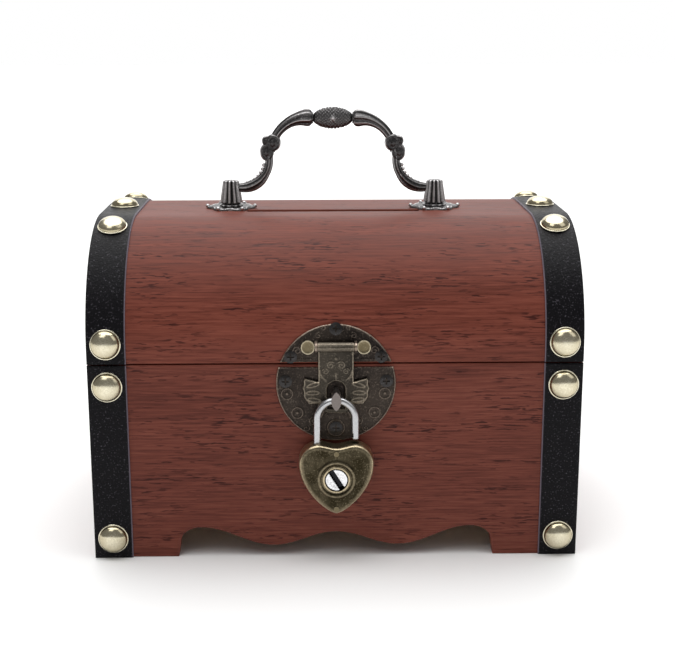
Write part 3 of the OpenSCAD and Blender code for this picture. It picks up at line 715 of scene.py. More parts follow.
@dataclass(frozen=True)
class LeatherFinish:
    """Black pebbled leathercloth with pale specks painted as glints on the pebbles, and a paler cut edge where
    the mark is 1.
    """

    name: str
    colour: tuple[float, float, float] = (0.003, 0.0026, 0.0038)
    cut_edge: tuple[float, float, float] = (0.20, 0.17, 0.21)

    def make(self) -> bpy.types.Material:
        """Builds the material."""
        w = Wiring(self.name)
        pebbles = w.cells(1500)
        creases = w.noise((900, 900, 900), 3, 0.6)
        rough_skin = w.maths("ADD", w.maths("MULTIPLY", pebbles, 0.7), w.maths("MULTIPLY", creases, 0.3))
        # Pale specks in the colour are painted glints, standing in for highlights on the pebbles.
        glint_specks = w.ramp(w.noise((1700, 1700, 1700), 2, 0.5), 0.6, 0.72)
        colour = w.mix(w.maths("MULTIPLY", glint_specks, 0.6), self.colour, (0.1, 0.092, 0.108))
        colour = w.mix(w.mark(), colour, self.cut_edge)
        normal = w.bump(rough_skin, 0.22, 0.7)
        roughness = w.ramp(creases, 0.3, 0.7, 0.38, 0.54)
        return w.shade(base_color=colour, roughness=roughness, normal=normal, specular_ior_level=0.12)


@dataclass(frozen=True)
class MetalFinish:
    """A metal with a patina: dark in the hollows, brighter where the mark is high (wear, and on the bail's
    leaves a painted highlight), with fine speckle.
    """

    name: str
    dark: tuple[float, float, float]
    worn: tuple[float, float, float]
    roughness: float
    speckle: float
    pitting_mm: float
    smudge: float = 60.0

    def make(self) -> bpy.types.Material:
        """Builds the material."""
        w = Wiring(self.name)
        grit = w.noise((1900, 1900, 1900), 3, 0.6)
        smudges = w.noise((self.smudge,) * 3, 3, 0.55)
        # The mark brightens towards the worn colour: wear on most pieces, and a painted highlight on the rims
        # of the bail's leaves.
        wear = w.maths("MULTIPLY", w.ramp(w.mark(), 0.15, 0.85), w.ramp(grit, 0.25, 0.55, 0.45, 1))
        flecks = w.maths("MULTIPLY", w.ramp(grit, 0.55, 0.75), self.speckle)
        cloudy = w.maths("MULTIPLY", w.ramp(smudges, 0.35, 0.75), self.speckle * 0.5)
        share = w.maths("ADD", wear, w.maths("ADD", flecks, cloudy))
        colour = w.mix(share, self.dark, self.worn)
        roughness = w.ramp(smudges, 0.3, 0.7, max(self.roughness - 0.07, 0.04), self.roughness + 0.09)
        normal = w.bump(grit, self.pitting_mm, 0.6)
        return w.shade(base_color=colour, roughness=roughness, normal=normal, metallic=1.0)


class Finishes:
    """Every material of the money box, made once."""

    def __init__(self) -> None:
        """Makes them all."""
        self.front_wood = WoodFinish("stained_wood", Grain.ACROSS).make()
        self.side_wood = WoodFinish("stained_side_wood", Grain.DEEP).make()
        self.lid_wood = WoodFinish(
            "stained_lid_wood", Grain.ACROSS,
            deep=(0.092, 0.019, 0.0105), body=(0.16, 0.038, 0.023), light=(0.225, 0.06, 0.038),
        ).make()
        self.bare_wood = WoodFinish(
            "bare_wood", Grain.ACROSS,
            deep=(0.34, 0.2, 0.1), body=(0.5, 0.33, 0.19), light=(0.62, 0.45, 0.28), pore=(0.2, 0.1, 0.05),
            gloss=0.6,
        ).make()
        self.leather = LeatherFinish("black_leathercloth").make()
        self.gold = MetalFinish(
            "pale_gold", dark=(0.46, 0.4, 0.26), worn=(0.84, 0.79, 0.62),
            roughness=0.2, speckle=0.3, pitting_mm=0.012,
        ).make()
        self.bronze = MetalFinish(
            "dark_bronze", dark=(0.017, 0.014, 0.013), worn=(0.5, 0.4, 0.32),
            roughness=0.44, speckle=0.2, pitting_mm=0.08,
        ).make()
        self.flap_bronze = MetalFinish(
            "flap_bronze", dark=(0.03, 0.026, 0.022), worn=(0.46, 0.39, 0.3),
            roughness=0.42, speckle=0.24, pitting_mm=0.07,
        ).make()
        self.staple = MetalFinish(
            "staple_bronze", dark=(0.19, 0.165, 0.155), worn=(0.45, 0.4, 0.37),
            roughness=0.4, speckle=0.3, pitting_mm=0.03,
        ).make()
        self.screw = MetalFinish(
            "blackened_screw", dark=(0.034, 0.031, 0.03), worn=(0.22, 0.22, 0.23),
            roughness=0.34, speckle=0.25, pitting_mm=0.02,
        ).make()
        self.brass = MetalFinish(
            "worn_brass", dark=(0.15, 0.12, 0.068), worn=(0.66, 0.58, 0.42),
            roughness=0.38, speckle=0.25, pitting_mm=0.02,
        ).make()
        self.lock = MetalFinish(
            "antique_brass", dark=(0.024, 0.019, 0.01), worn=(0.6, 0.5, 0.33),
            roughness=0.33, speckle=0.22, pitting_mm=0.012, smudge=170,
        ).make()
        self.pewter = MetalFinish(
            "gunmetal", dark=(0.035, 0.033, 0.033), worn=(0.62, 0.6, 0.6),
            roughness=0.32, speckle=0.22, pitting_mm=0.07,
        ).make()
        self.plug = MetalFinish(
            "plug_steel", dark=(0.012, 0.012, 0.014), worn=(0.85, 0.85, 0.87),
            roughness=0.16, speckle=0.02, pitting_mm=0.003,
        ).make()
        self.wire = MetalFinish(
            "satin_wire", dark=(0.36, 0.36, 0.37), worn=(0.62, 0.62, 0.63),
            roughness=0.24, speckle=0.2, pitting_mm=0.01,
        ).make()
        self.zinc = MetalFinish(
            "zinc_plate", dark=(0.45, 0.46, 0.47), worn=(0.65, 0.66, 0.68),
            roughness=0.35, speckle=0.3, pitting_mm=0.01,
        ).make()


# ---------------------------------------------------------------- the chest


@dataclass(frozen=True)
class Chest:
    """The chest's planes and the curve of its lid, read from the frame, in millimetres."""

    half_w: float
    front: float
    back: float
    seam: float
    lid_foot: float
    top: float
    side_up: float = 4.0

    @classmethod
    def from_frame(cls) -> "Chest":
        """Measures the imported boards."""
        _, board_high = (np.array(c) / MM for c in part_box("front_board"))
        lid_low, lid_high = (np.array(c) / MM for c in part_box("lid_shell"))
        return cls(board_high[0], lid_low[1], lid_high[1], board_high[2], lid_low[2], lid_high[2])

    @property
    def shoulder_r(self) -> float:
        """Radius of the lid's shoulders."""
        return self.top - self.seam - self.side_up

    @property
    def middle(self) -> float:
        """The plane halfway between front and back."""
        return (self.front + self.back) / 2

    @property
    def flat_half(self) -> float:
        """Half the width of the flat top."""
        return (self.back - self.front) / 2 - self.shoulder_r

    @property
    def lid_half(self) -> float:
        """Length of the lid's surface from the middle of the top to its lower edge."""
        return self.flat_half + self.shoulder_r * math.pi / 2 + self.side_up - (self.lid_foot - self.seam)

    def on_lid(self, x: Array, s: Array, h: Array) -> Array:
        """Puts points on the lid, which is flat, then a quarter circle, then upright.

        Args:
            x: Places to the right.
            s: Distances from the middle of the top along the lid, negative in front.
            h: Heights above the surface.

        Returns:
            The points.
        """
        lean = np.clip((np.abs(s) - self.flat_half) / self.shoulder_r, 0, math.pi / 2)
        down = np.maximum(np.abs(s) - self.flat_half - self.shoulder_r * math.pi / 2, 0)
        reach = np.minimum(np.abs(s), self.flat_half) + (self.shoulder_r + h) * np.sin(lean)
        return stack(x, self.middle + np.sign(s) * reach, self.top - self.shoulder_r
                     + (self.shoulder_r + h) * np.cos(lean) - down)

    def on_front(self, x: Array, z: Array, h: Array) -> Array:
        """Puts points in front of the front board and, above the seam, of the curve of the lid.

        Args:
            x: Places to the right.
            z: Heights above the floor.
            h: Distances from the surface, square to it.

        Returns:
            The points.
        """
        lean = np.arcsin(np.clip((z - self.seam - self.side_up) / self.shoulder_r, 0, 1))
        y = self.front + self.shoulder_r * (1 - np.cos(lean))
        return stack(x, y - h * np.cos(lean), z + h * np.sin(lean))

    def on_back(self, u: Array, z: Array, h: Array) -> Array:
        """A point behind the back board; u runs to the left."""
        return stack(-u, self.back + h, z)


@dataclass
class Boards:
    """The wooden boards of case and lid, with softly rounded arrises."""

    chest: Chest
    finishes: Finishes
    thickness: float = 5.0
    arris: float = 0.45
    shell_t: float = 3.0
    worn_w: float = 0.35
    foot_w: float = 28.4
    foot_step: float = 0.7
    arch_h: float = 10.2
    arch_in: float = 7.0
    lobe_h: float = 3.8
    lobe_x: float = 20.6
    hump_h: float = 8.4
    side_foot: float = 26.0
    side_arch_h: float = 8.0
    coin_slot_l: float = 60.0
    coin_slot_w: float = 4.4
    coin_slot_in_front: float = 6.7

    def apron(self, x: Array) -> Array:
        """Works out the height of the front board's lower edge.

        From the middle: a cosine from the hump down to the low lobes, a cosine up to the arches, a quarter
        ellipse down to the foot, and a short straight stretch to the floor.

        Args:
            x: Places to the right.

        Returns:
            The heights above the floor.
        """
        foot_x = self.chest.half_w - self.foot_w
        arch_x = foot_x - self.arch_in
        a = np.abs(x)
        wave = self.lobe_h + (self.hump_h - self.lobe_h) * (1 + np.cos(math.pi * a / self.lobe_x)) / 2
        rise = self.lobe_h + (self.arch_h - self.lobe_h) * (
            1 - np.cos(math.pi * (a - self.lobe_x) / (arch_x - self.lobe_x))) / 2
        spring = self.arch_h / 2
        across = np.clip((a - arch_x) / (foot_x - arch_x), 0, 1)
        corner = spring + (self.arch_h - spring) * np.sqrt(1 - across**2)
        step = spring * np.clip((foot_x + self.foot_step - a) / self.foot_step, 0, 1)
        return np.where(a < self.lobe_x, wave, np.where(a < arch_x, rise, np.where(a < foot_x, corner, step)))

    def side_arch(self, y: Array) -> Array:
        """Height of a side board's lower edge: an arch between the side's feet."""
        half = (self.chest.back - self.chest.front) / 2 - self.side_foot
        along = np.clip(np.abs(y - self.chest.middle) / half, 0, 1)
        return self.side_arch_h * np.sqrt(np.maximum(1 - along**4, 0)) ** 0.8

    def slab(self, place: Place, low: Callable[[Array], Array], us: Array) -> Shape:
        """Makes a board from a curved lower edge up to the seam, rounded on its front arrises.

        Args:
            place: Puts the board's face in its plane.
            low: Height of the lower edge at each place along it.
            us: The places along it at which it has points.

        Returns:
            The board.
        """
        high = self.chest.seam
        edge = np.stack([us, low(us)], axis=1)
        loop = np.concatenate([edge, [[us[-1], high], [us[0], high]]])
        rise = graded(0, 1, 0.02, (0.001, 0.003, 0.006, 0.011))

        def warp(u: Array, t: Array) -> tuple[Array, Array]:
            """Spreads the rows between the lower edge and the upper one."""
            foot = low(u)
            return u, foot + t * (high - foot)

        def face(u: Array, v: Array, depth: Array) -> Array:
            """Height of the face, lower at its arrises."""
            gap, _, _ = nearest_on(loop, u, v, True)
            return -rounded(gap, self.arris)

        def wear(u: Array, v: Array, depth: Array) -> Array:
            """Paler along the arrises."""
            gap, _, _ = nearest_on(loop, u, v, True)
            return np.exp(-((gap / self.worn_w) ** 2))

        def back(u: Array, v: Array, depth: Array) -> Array:
            """The flat back."""
            return np.full(u.shape, -self.thickness)

        shape = Shape()
        Sheet(us, rise, place, face, back, warp=warp, mark=wear).into(shape)
        return shape

    def case(self) -> None:
        """Makes the front, back and side boards and dresses the floor board."""
        chest, wood = self.chest, self.finishes.front_wood
        foot_x = chest.half_w - self.foot_w
        step = foot_x - self.arch_in
        foot_end = foot_x + self.foot_step
        half = np.concatenate([
            graded(0, step, 1.2, ()), np.linspace(step, foot_x, 26), foot_x + np.linspace(0, self.foot_step, 6),
            graded(foot_end, chest.half_w, 1.6)])
        us = np.unique(np.concatenate([-half, half]).round(4))
        front = self.slab(chest.on_front, self.apron, us)
        front.finish("front_panel", Body.CASE, "body_wood", wood, ["front_board"])
        back = self.slab(chest.on_back, self.apron, us)
        back.finish("back_panel", Body.CASE, "body_wood", wood, ["back_board"])
        near, far = chest.front + self.thickness, chest.back - self.thickness
        us = graded(near, far, 0.8, (0.08, 0.2, 0.4))
        for side, name in ((-1, "left"), (1, "right")):
            def place(u: Array, v: Array, h: Array, out: float = side) -> Array:
                """A point outside a side board; u runs to the back on the right, to the front on the left."""
                return stack(out * (chest.half_w + h), u if out > 0 else near + far - u, v)

            low = self.side_arch if side > 0 else lambda u: self.side_arch(near + far - u)
            panel = self.slab(place, low, us)
            panel.finish(
                f"side_panel_{name}", Body.CASE, "body_wood", self.finishes.side_wood, [f"side_board_{name}"])
        dress("floor_board", self.finishes.bare_wood)

    def lid(self) -> None:
        """Makes the bent lid board with its coin slot and dresses the boards inside."""
        chest = self.chest
        left, right = (corner[0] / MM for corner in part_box("lid_shell"))
        slot_half, edge = self.coin_slot_l / 2, chest.lid_half
        slot_front = -self.coin_slot_in_front - self.coin_slot_w / 2
        slot_back = -self.coin_slot_in_front + self.coin_slot_w / 2
        us = np.unique(np.concatenate([
            graded(left, -slot_half, 1.6), graded(-slot_half, slot_half, 1.6),
            graded(slot_half, right, 1.6)]).round(4))
        vs = np.unique(np.concatenate([
            graded(-edge, slot_front, 1.4), graded(slot_front, slot_back, 1.1),
            graded(slot_back, edge, 1.4)]).round(4))
        hole = np.array([
            [-slot_half, slot_front], [-slot_half, slot_back], [slot_half, slot_back], [slot_half, slot_front]])
        rim = np.array([
            [-chest.half_w, -edge], [chest.half_w, -edge], [chest.half_w, edge], [-chest.half_w, edge]])
        shape = Shape()

        def wear(u: Array, v: Array, depth: Array) -> Array:
            """Paler along the arrises and, more faintly, with a painted highlight along the two creases where
            the flat top begins.
            """
            # A painted highlight along each crease, where light falls differently on the bend.
            crease_highlight = np.exp(-(((np.abs(v) - chest.flat_half) / 0.6) ** 2))
            return np.maximum(np.exp(-((depth / self.worn_w) ** 2)), 0.8 * crease_highlight)

        Sheet(us, vs, chest.on_lid, lambda u, v, d: -rounded(d, self.arris),
              lambda u, v, d: np.full(u.shape, -self.shell_t), [rim, hole], wear).into(shape)
        shape.finish("lid_board", Body.LID, "lid_wood", self.finishes.lid_wood, ["lid_shell"])
        for name in ("lid_end_left", "lid_end_right"):
            dress(name, self.finishes.side_wood)
        for name in ("lid_rail_front", "lid_rail_back"):
            dress(name, self.finishes.bare_wood)


@dataclass
class Straps:
    """Leathercloth straps with rounded, slightly pulled-down edges and a pale cut edge towards the middle."""

    chest: Chest
    finishes: Finishes
    width: float = 12.6
    thickness: float = 0.8
    edge_r: float = 0.4

    def strap(self, place: Place, side: float, low: float, high: float) -> Shape:
        """Makes one strap.

        Args:
            place: Puts the strap on its wall or on the lid.
            side: -1 for the edge of low u, 1 for the edge of high u.
            low: Where it starts along its run.
            high: Where it ends along its run.

        Returns:
            The strap.
        """
        u0 = self.chest.half_w - self.width if side > 0 else -self.chest.half_w
        u1 = u0 + self.width
        inner = u0 if side > 0 else u1

        def face(u: Array, v: Array, depth: Array) -> Array:
            """Height of the skin: the edges are rounded and the middle is crowned by a few hundredths."""
            across = (u - (u0 + u1) / 2) / (self.width / 2)
            return self.thickness - rounded(depth, self.edge_r) - 0.06 * np.abs(across) ** 3

        def cut_edge(u: Array, v: Array, depth: Array) -> Array:
            """1 on the edge that faces the middle of the box."""
            return np.clip(1 - (np.abs(u - inner) - 0.12) / 0.25, 0, 1) * 0.9

        shape = Shape()
        Sheet(graded(u0, u1, 1.0), graded(low, high, 1.2), place, face, lambda u, v, d: np.zeros(u.shape),
              mark=cut_edge).into(shape)
        return shape

    def make(self) -> None:
        """Makes the four case straps and the two lid straps."""
        chest, skin = self.chest, self.finishes.leather
        for side, name in ((-1, "left"), (1, "right")):
            front = self.strap(chest.on_front, side, 0, chest.seam)
            front.finish(f"leather_front_{name}", Body.CASE, "black_leather", skin, [f"strap_front_{name}"])
            back = self.strap(chest.on_back, -side, 0, chest.seam)
            back.finish(f"leather_back_{name}", Body.CASE, "black_leather", skin, [f"strap_back_{name}"])
            lid = self.strap(chest.on_lid, side, -chest.lid_half, chest.lid_half)
            lid.finish(f"leather_lid_{name}", Body.LID, "black_leather", skin, [f"strap_lid_{name}"])


@dataclass
class Studs:
    """Domed upholstery studs with a thin rolled rim."""

    chest: Chest
    finishes: Finishes
    radius: float = 5.0
    rise: float = 3.1
    rim: float = 0.45
    lip_r: float = 0.22
    strap_t: float = 0.8
    strap_w: float = 12.6
    from_end: float = 7.0
    top_places: tuple[float, ...] = (-31.0, 0.0, 31.0)

    def profile(self) -> tuple[Array, Array]:
        """Works out a stud's profile: a small rounded rim, then an ellipse up to the crown.

        Returns:
            Radii and heights, and a mark for each.
        """
        a = np.linspace(0, math.pi / 2, 18)
        dome_r, dome_h = self.radius - 0.35, self.rise - self.rim
        dome = np.stack([dome_r * np.cos(a) ** 0.92, self.rim + dome_h * np.sin(a)], axis=1)
        dome[-1, 0] = 0
        b = np.linspace(-math.pi / 2, math.pi / 2, 7)
        lip_x = self.radius - self.lip_r + self.lip_r * np.cos(b)
        lip = np.stack([lip_x, self.rim / 2 + self.rim / 2 * np.sin(b)], axis=1)
        profile = np.concatenate([[[0, 0]], lip, dome])
        marks = np.concatenate([[0], np.full(7, 1.0), np.linspace(0.0, 0.7, 18)])
        return profile, marks

    def stud(self, shape: Shape, place: Place) -> None:
        """Adds one stud whose flat coordinates start at its middle."""
        profile, marks = self.profile()
        revolve(shape, profile, place, 44, marks=marks)

    def make(self) -> None:
        """Makes the case's studs and the lid's as one piece each."""
        chest = self.chest
        on_case, on_lid = Shape(), Shape()
        stud_x = chest.half_w - self.strap_w / 2
        low_stud = chest.flat_half + chest.shoulder_r * math.pi / 2 + chest.side_up - self.from_end
        for side in (-1, 1):
            for z in (self.from_end, chest.seam - self.from_end):
                for wall in (chest.on_front, chest.on_back):
                    self.stud(on_case, lambda u, v, h: wall(side * stud_x + u, z + v, h + self.strap_t))
            for s in (-low_stud, *self.top_places, low_stud):
                steep = (abs(s) - chest.flat_half) / chest.shoulder_r
                lean = math.copysign(min(max(steep, 0), math.pi / 2), s)
                base = chest.on_lid(np.array(0.0), np.array(s), np.array(self.strap_t))
                along = np.array([0, math.cos(lean), -math.sin(lean)])
                out = np.array([0, math.sin(lean), math.cos(lean)])

                def place(u: Array, v: Array, h: Array) -> Array:
                    """A point on a stud that stands square on the lid at its own lean."""
                    flat = stack(side * stud_x + u, 0 * u, 0 * u)
                    return flat + base + v[..., None] * along + h[..., None] * out

                self.stud(on_lid, place)
        on_case.finish("gold_case_studs", Body.CASE, "stud_gold", self.finishes.gold, ["case_studs"])
        on_lid.finish("gold_lid_studs", Body.LID, "stud_gold", self.finishes.gold, ["lid_studs"])


@dataclass
class Hasp:
    """The round plate in two halves, the flap with its knuckle, the rivets, screws and staple."""

    chest: Chest
    finishes: Finishes
    radius: float = 19.3
    drop: float = 6.2
    split: float = 1.7
    step: float = 0.22
    plate_t: float = 0.72
    rim_w: float = 0.75
    rim_h: float = 0.2
    emboss: float = 0.24
    flap_half: float = 5.75
    pin_up: float = 6.3
    knuckle_out: float = 2.75
    knuckle_r: float = 1.65
    flap_back: float = 1.25
    flap_t: float = 0.85
    slot_r: float = 2.8
    slot_top: float = 5.2
    slot_foot: float = 14.3
    foot: float = 15.9
    ear_gap: float = 0.2
    ear_t: float = 0.8
    ear_r: float = 1.45
    rivet_x: float = 9.0
    rivet_up: float = 5.8
    flap_wear: float = 0.12

    @property
    def centre(self) -> float:
        """Height of the plate's middle."""
        return self.chest.seam - self.drop

    def plate_relief(self) -> Relief:
        """Rings, rosettes and scrolls round the plate."""
        c = self.centre
        relief = Relief()
        for x, z in ((15.8, -3.5), (12.5, -9.9)):
            relief.rosette(x, c + z, 1.8, self.emboss)
            relief.rosette(-x, c + z, 1.8, self.emboss)
        relief.line(curl(4.1, c + 18.6 - 0.6, 1.0, 1.2, 0.5), 0.2, self.emboss, True)
        relief.line(curl(7.2, c - 12.8, 1.5, 1.3, 1.2, -1), 0.24, self.emboss, True)
        relief.line(curl(9.6, c - 15.2, 1.1, 1.2, 2.6), 0.2, self.emboss, True)
        relief.line(curl(12.4, c + 10.9, 1.5, 1.3, -0.6), 0.24, self.emboss, True)
        relief.line(curl(5.6, c + 15.6, 1.1, 1.1, 2.0, -1), 0.2, self.emboss, True)
        relief.line(curl(16.7, c + 1.6, 0.9, 1.1, 1.0), 0.18, self.emboss, True)
        arch = circle(0, c - 12.6, 5.0, 20, math.radians(12), math.radians(156))
        relief.line(arch, 0.3, self.emboss)
        inner_arch = circle(0, c - 12.4, 3.9, 20, math.radians(20), math.radians(140))
        relief.line(inner_arch, 0.22, self.emboss * 0.8)
        for k in range(7):
            a = math.radians(30 + 20 * k)
            ray = np.array([[3.0 * math.cos(a), c - 12.4 + 3.0 * math.sin(a)],
                            [3.6 * math.cos(a), c - 12.4 + 3.6 * math.sin(a)]])
            relief.line(ray, 0.2, self.emboss * 0.8)
        relief.line(ring(0, c - 15.0, 2.75), 0.22, self.emboss)
        relief.boss(0, c - 8.2, 0.5, self.emboss)
        for k in range(15):
            x = 8.1 + 0.62 * k
            relief.boss(x, self.chest.seam + self.split / 2 + 1.0, 0.24, self.emboss * 0.8)
            relief.boss(-x, self.chest.seam + self.split / 2 + 1.0, 0.24, self.emboss * 0.8)
        return relief

    def speckle(self, u: Array, v: Array) -> Array:
        """A cast, pebbled ground: the product of slanted waves whose slants differ by place."""
        return 0.5 * (np.sin(7.9 * u + 2.1 * np.sin(3.1 * v)) * np.sin(8.3 * v + 1.7 * np.sin(2.7 * u))
                      + np.sin(11.3 * (u + v)) * np.sin(10.7 * (u - v + 0.4 * np.sin(u))))

    def half_plate(self, upper: bool) -> Shape:
        """Makes one half of the plate, cut by the gap at the seam.

        Args:
            upper: Whether it is the half on the lid.

        Returns:
            The half.
        """
        c, cut = self.centre, self.split / 2
        level = self.chest.seam + (cut if upper else -cut) - c
        at = math.asin(level / self.radius)
        arc = circle(0, c, self.radius, 90, at, math.pi - 2 * at) if upper else circle(
            0, c, self.radius, 120, math.pi - at, math.pi + 2 * at)
        relief = self.plate_relief()
        us = np.arange(-self.radius - self.step, self.radius + 2 * self.step, self.step)
        vs = np.arange(arc[:, 1].min() - self.step, arc[:, 1].max() + 2 * self.step, self.step)

        def rim(u: Array, v: Array) -> Array:
            """1 on the raised rim round the circle, 0 inside it."""
            r = np.hypot(u, v - c)
            return np.clip((r - (self.radius - self.rim_w)) / 0.25, 0, 1)

        def ground(u: Array, v: Array) -> Array:
            """How strong the pebbles are: none in the very middle and on the rim, full elsewhere."""
            r = np.hypot(u, v - c)
            return np.clip((r - 2) / 3, 0, 1) * (1 - rim(u, v))

        def face(u: Array, v: Array, depth: Array) -> Array:
            """Height of the face: plate, rim, relief and pebbles, with rounded edges."""
            lift = self.rim_h * rim(u, v) + relief.lift(u, v) + 0.06 * ground(u, v) * self.speckle(u, v)
            return self.plate_t - 0.1 + lift - rounded(depth, 0.3)

        def wear(u: Array, v: Array, depth: Array) -> Array:
            """Bright on the outermost edge, faint on the relief."""
            edge = np.exp(-(((depth - 0.12) / 0.22) ** 2))
            r = np.hypot(u, v - c)
            on_circle = np.clip((r - (self.radius - 0.6)) / 0.3, 0, 1)
            peaks = np.clip(relief.lift(u, v) / self.emboss, 0, 1) ** 2 * 0.36
            grain = np.clip(self.speckle(u, v), 0, 1) ** 2 * 0.3 * ground(u, v)
            return np.clip(edge * (0.3 + 0.5 * on_circle) + peaks + grain, 0, 1)

        shape = Shape()
        Sheet(us, vs, self.chest.on_front, face, lambda u, v, d: np.zeros(u.shape), [arc], wear).into(shape)
        return shape

    def rod(self, shape: Shape, x0: float, x1: float, radii: Array, marks: Array) -> None:
        """Adds a round bar along X round the flap's pin, closed at both ends.

        Args:
            shape: Where the surface goes.
            x0: Where it starts.
            x1: Where it ends.
            radii: Its radius at each step.
            marks: Its mark at each step.
        """
        xs = np.linspace(x0, x1, len(radii))
        y, z = self.chest.front - self.knuckle_out, self.chest.seam + self.pin_up
        path, r = capped(stack(xs, np.full(len(xs), y), np.full(len(xs), z)), radii)
        a = TAU * np.arange(32) / 32
        mark = np.concatenate([marks[:1], marks, marks[-1:]])
        points = path[:, None] + r[:, None, None] * np.stack([0 * a, -np.cos(a), np.sin(a)], axis=1)[None]
        bands = 0.22 * np.cos(7 * a + 0.6) ** 2
        shape.grid(points, mark[:, None] + bands)

    def ears(self, shape: Shape) -> None:
        """Adds two small ears beside the knuckle that carry its pin, round in front and flat at the plate.

        Args:
            shape: Where the surfaces go.
        """
        a = np.linspace(-math.pi / 2, math.pi / 2, 13)
        y, z = self.chest.front - self.knuckle_out, self.chest.seam + self.pin_up
        nose = np.stack([y - self.ear_r * np.cos(a), z + self.ear_r * np.sin(a)], axis=1)
        root = self.chest.front - self.plate_t + 0.2
        loop = np.concatenate([[[root, z - 1.7]], nose, [[root, z + 1.7]]])
        for side in (-1, 1):
            x_in = side * (self.flap_half + self.ear_gap)
            x_out = x_in + side * self.ear_t
            centre = np.array([y + 0.8, z])
            rows = []
            for x, share in ((x_in, 0.0), (x_in, 1.0), (x_out, 1.0), (x_out, 0.0)):
                y_row, z_row = (centre + (loop - centre) * share).T
                rows.append(stack(np.full(len(loop), x), y_row, z_row))
            shape.grid(np.stack(rows), np.array([0, 0.6, 0.6, 0.1])[:, None] * np.ones(len(loop)))

    def wing(self) -> Array:
        """Works out the outline of the right wing: a wavy outer edge that steps in at its lower corner.

        Returns:
            Its points from neck to foot.
        """
        seam = self.chest.seam
        t = np.linspace(0, 1, 16)
        outer = np.stack([10.15 + 0.45 * np.sin(math.pi * t) + 0.14 * np.sin(5 * math.pi * t),
                          seam - 4.2 - 6.6 * t], axis=1)
        s = np.linspace(0, 1, 8)
        corner = np.stack([9.9 - 1.0 * s + 0.12 * np.sin(2 * math.pi * s), seam - 11.1 - 1.7 * s], axis=1)
        return np.concatenate([[[self.flap_half, seam - 5.3]], outer, corner, [[4.7, seam - 12.9]]])

    def flap(self) -> None:
        """Makes the flap: a neck that spreads into two wings round an arched slot, and the knuckle on top."""
        seam = self.chest.seam
        top = seam + self.pin_up - 0.6
        right = np.concatenate([[[self.flap_half, top]], self.wing(),
                                [[4.3, seam - self.foot + 1], [3.2, seam - self.foot]]])
        outline = np.concatenate([right, mirrored(right)])
        arch = circle(0, seam - self.slot_top - self.slot_r, self.slot_r, 24, 0, math.pi)
        slot_end = seam - self.slot_foot
        hole = np.concatenate([[[-self.slot_r, slot_end], [self.slot_r, slot_end]], arch])
        relief = Relief()
        turn = np.linspace(0, TAU, 22)
        for z, cx, tilt in ((-6.4, 7.3, -0.28), (-9.0, 7.4, 0.0), (-11.4, 7.0, 0.16)):
            du, dv = 2.05 * np.cos(turn), 0.62 * np.sin(turn)
            loop = np.stack([cx + du * math.cos(tilt) - dv * math.sin(tilt),
                             seam + z + du * math.sin(tilt) + dv * math.cos(tilt)], axis=1)
            relief.line(loop, 0.24, 0.26, True)
        for k in range(4):
            a = np.array([[3.2 + 0.55 * k, seam - 4.7 + 0.5 * k], [5.2, seam - 3.0 + 0.75 * k - 0.6]])
            relief.line(a, 0.17, 0.16, True)
        relief.line(curl(1.7, seam + 0.2, 1.3, 1.4, 2.4, -1), 0.2, 0.16, True)
        relief.line(curl(3.3, seam - 1.9, 1.1, 1.3, 0.4), 0.18, 0.15, True)
        relief.line(np.array([[0, seam - 4.6], [0, seam - 2.4]]), 0.25, 0.16)
        relief.boss(0, seam + 2.4, 0.5, 0.14)

        def face(u: Array, v: Array, depth: Array) -> Array:
            """Height of the face: a raised border, the relief and a pebbled ground, with rounded edges."""
            border = 0.14 * np.exp(-(((depth - 0.45) / 0.28) ** 2))
            ground = 0.03 * self.speckle(u, v) * np.clip((seam + 2.5 - v) / 2, 0, 1)
            return self.flap_t + border + relief.lift(u, v) + ground - rounded(depth, 0.3)

        def wear(u: Array, v: Array, depth: Array) -> Array:
            """Worn along the border and on top of the relief."""
            above_foot = np.clip((v - seam + self.foot - 1) / 2, 0.2, 1)
            edge = 0.5 * np.exp(-(((depth - 0.25) / 0.2) ** 2)) * above_foot
            grain = 0.25 * np.clip(self.speckle(u, v), 0, 1) ** 2 * np.clip((seam + 2.5 - v) / 2, 0, 1)
            return np.clip(edge + self.flap_wear + grain + relief.lift(u, v) / 0.26 * 0.42, 0, 1)

        def place(u: Array, v: Array, h: Array) -> Array:
            """A point on the upright flap, its back a little in front of the board."""
            return stack(u, self.chest.front - self.flap_back - h, v)

        shape = Shape()
        Sheet(np.arange(-11, 11.01, 0.2), np.arange(seam - self.foot - 0.3, top + 0.3, 0.2), place, face,
              lambda u, v, d: np.zeros(u.shape), [outline, hole], wear).into(shape)
        along = np.linspace(-1, 1, 60)
        radii = self.knuckle_r - 0.12 * np.abs(along) ** 24
        self.rod(shape, -self.flap_half, self.flap_half, radii, 0.2 + 0.2 * np.abs(along) ** 16)
        shape.finish("flap_with_knuckle", Body.FLAP, "dark_bronze", self.finishes.flap_bronze, ["hasp_flap"])

    def rivets(self) -> None:
        """Makes the two flat rivets, each with a bright raised rim."""
        shape = Shape()
        profile = np.array([
            [0, 0.0], [2.25, 0.0], [2.3, 0.25], [2.2, 0.48], [2.0, 0.52], [1.8, 0.42], [0.9, 0.4], [0, 0.4]])
        marks = np.array([0, 0.4, 0.75, 0.85, 0.6, 0.2, 0.05, 0.05])
        rivet_z = self.chest.seam + self.rivet_up
        for side in (-1, 1):
            revolve(shape, profile, lambda u, v, h: self.chest.on_front(
                side * self.rivet_x + u, rivet_z + v, h + self.plate_t), 36, marks=marks)
        shape.finish("rivet_heads", Body.LID, "worn_brass", self.finishes.brass, ["hasp_rivets"])

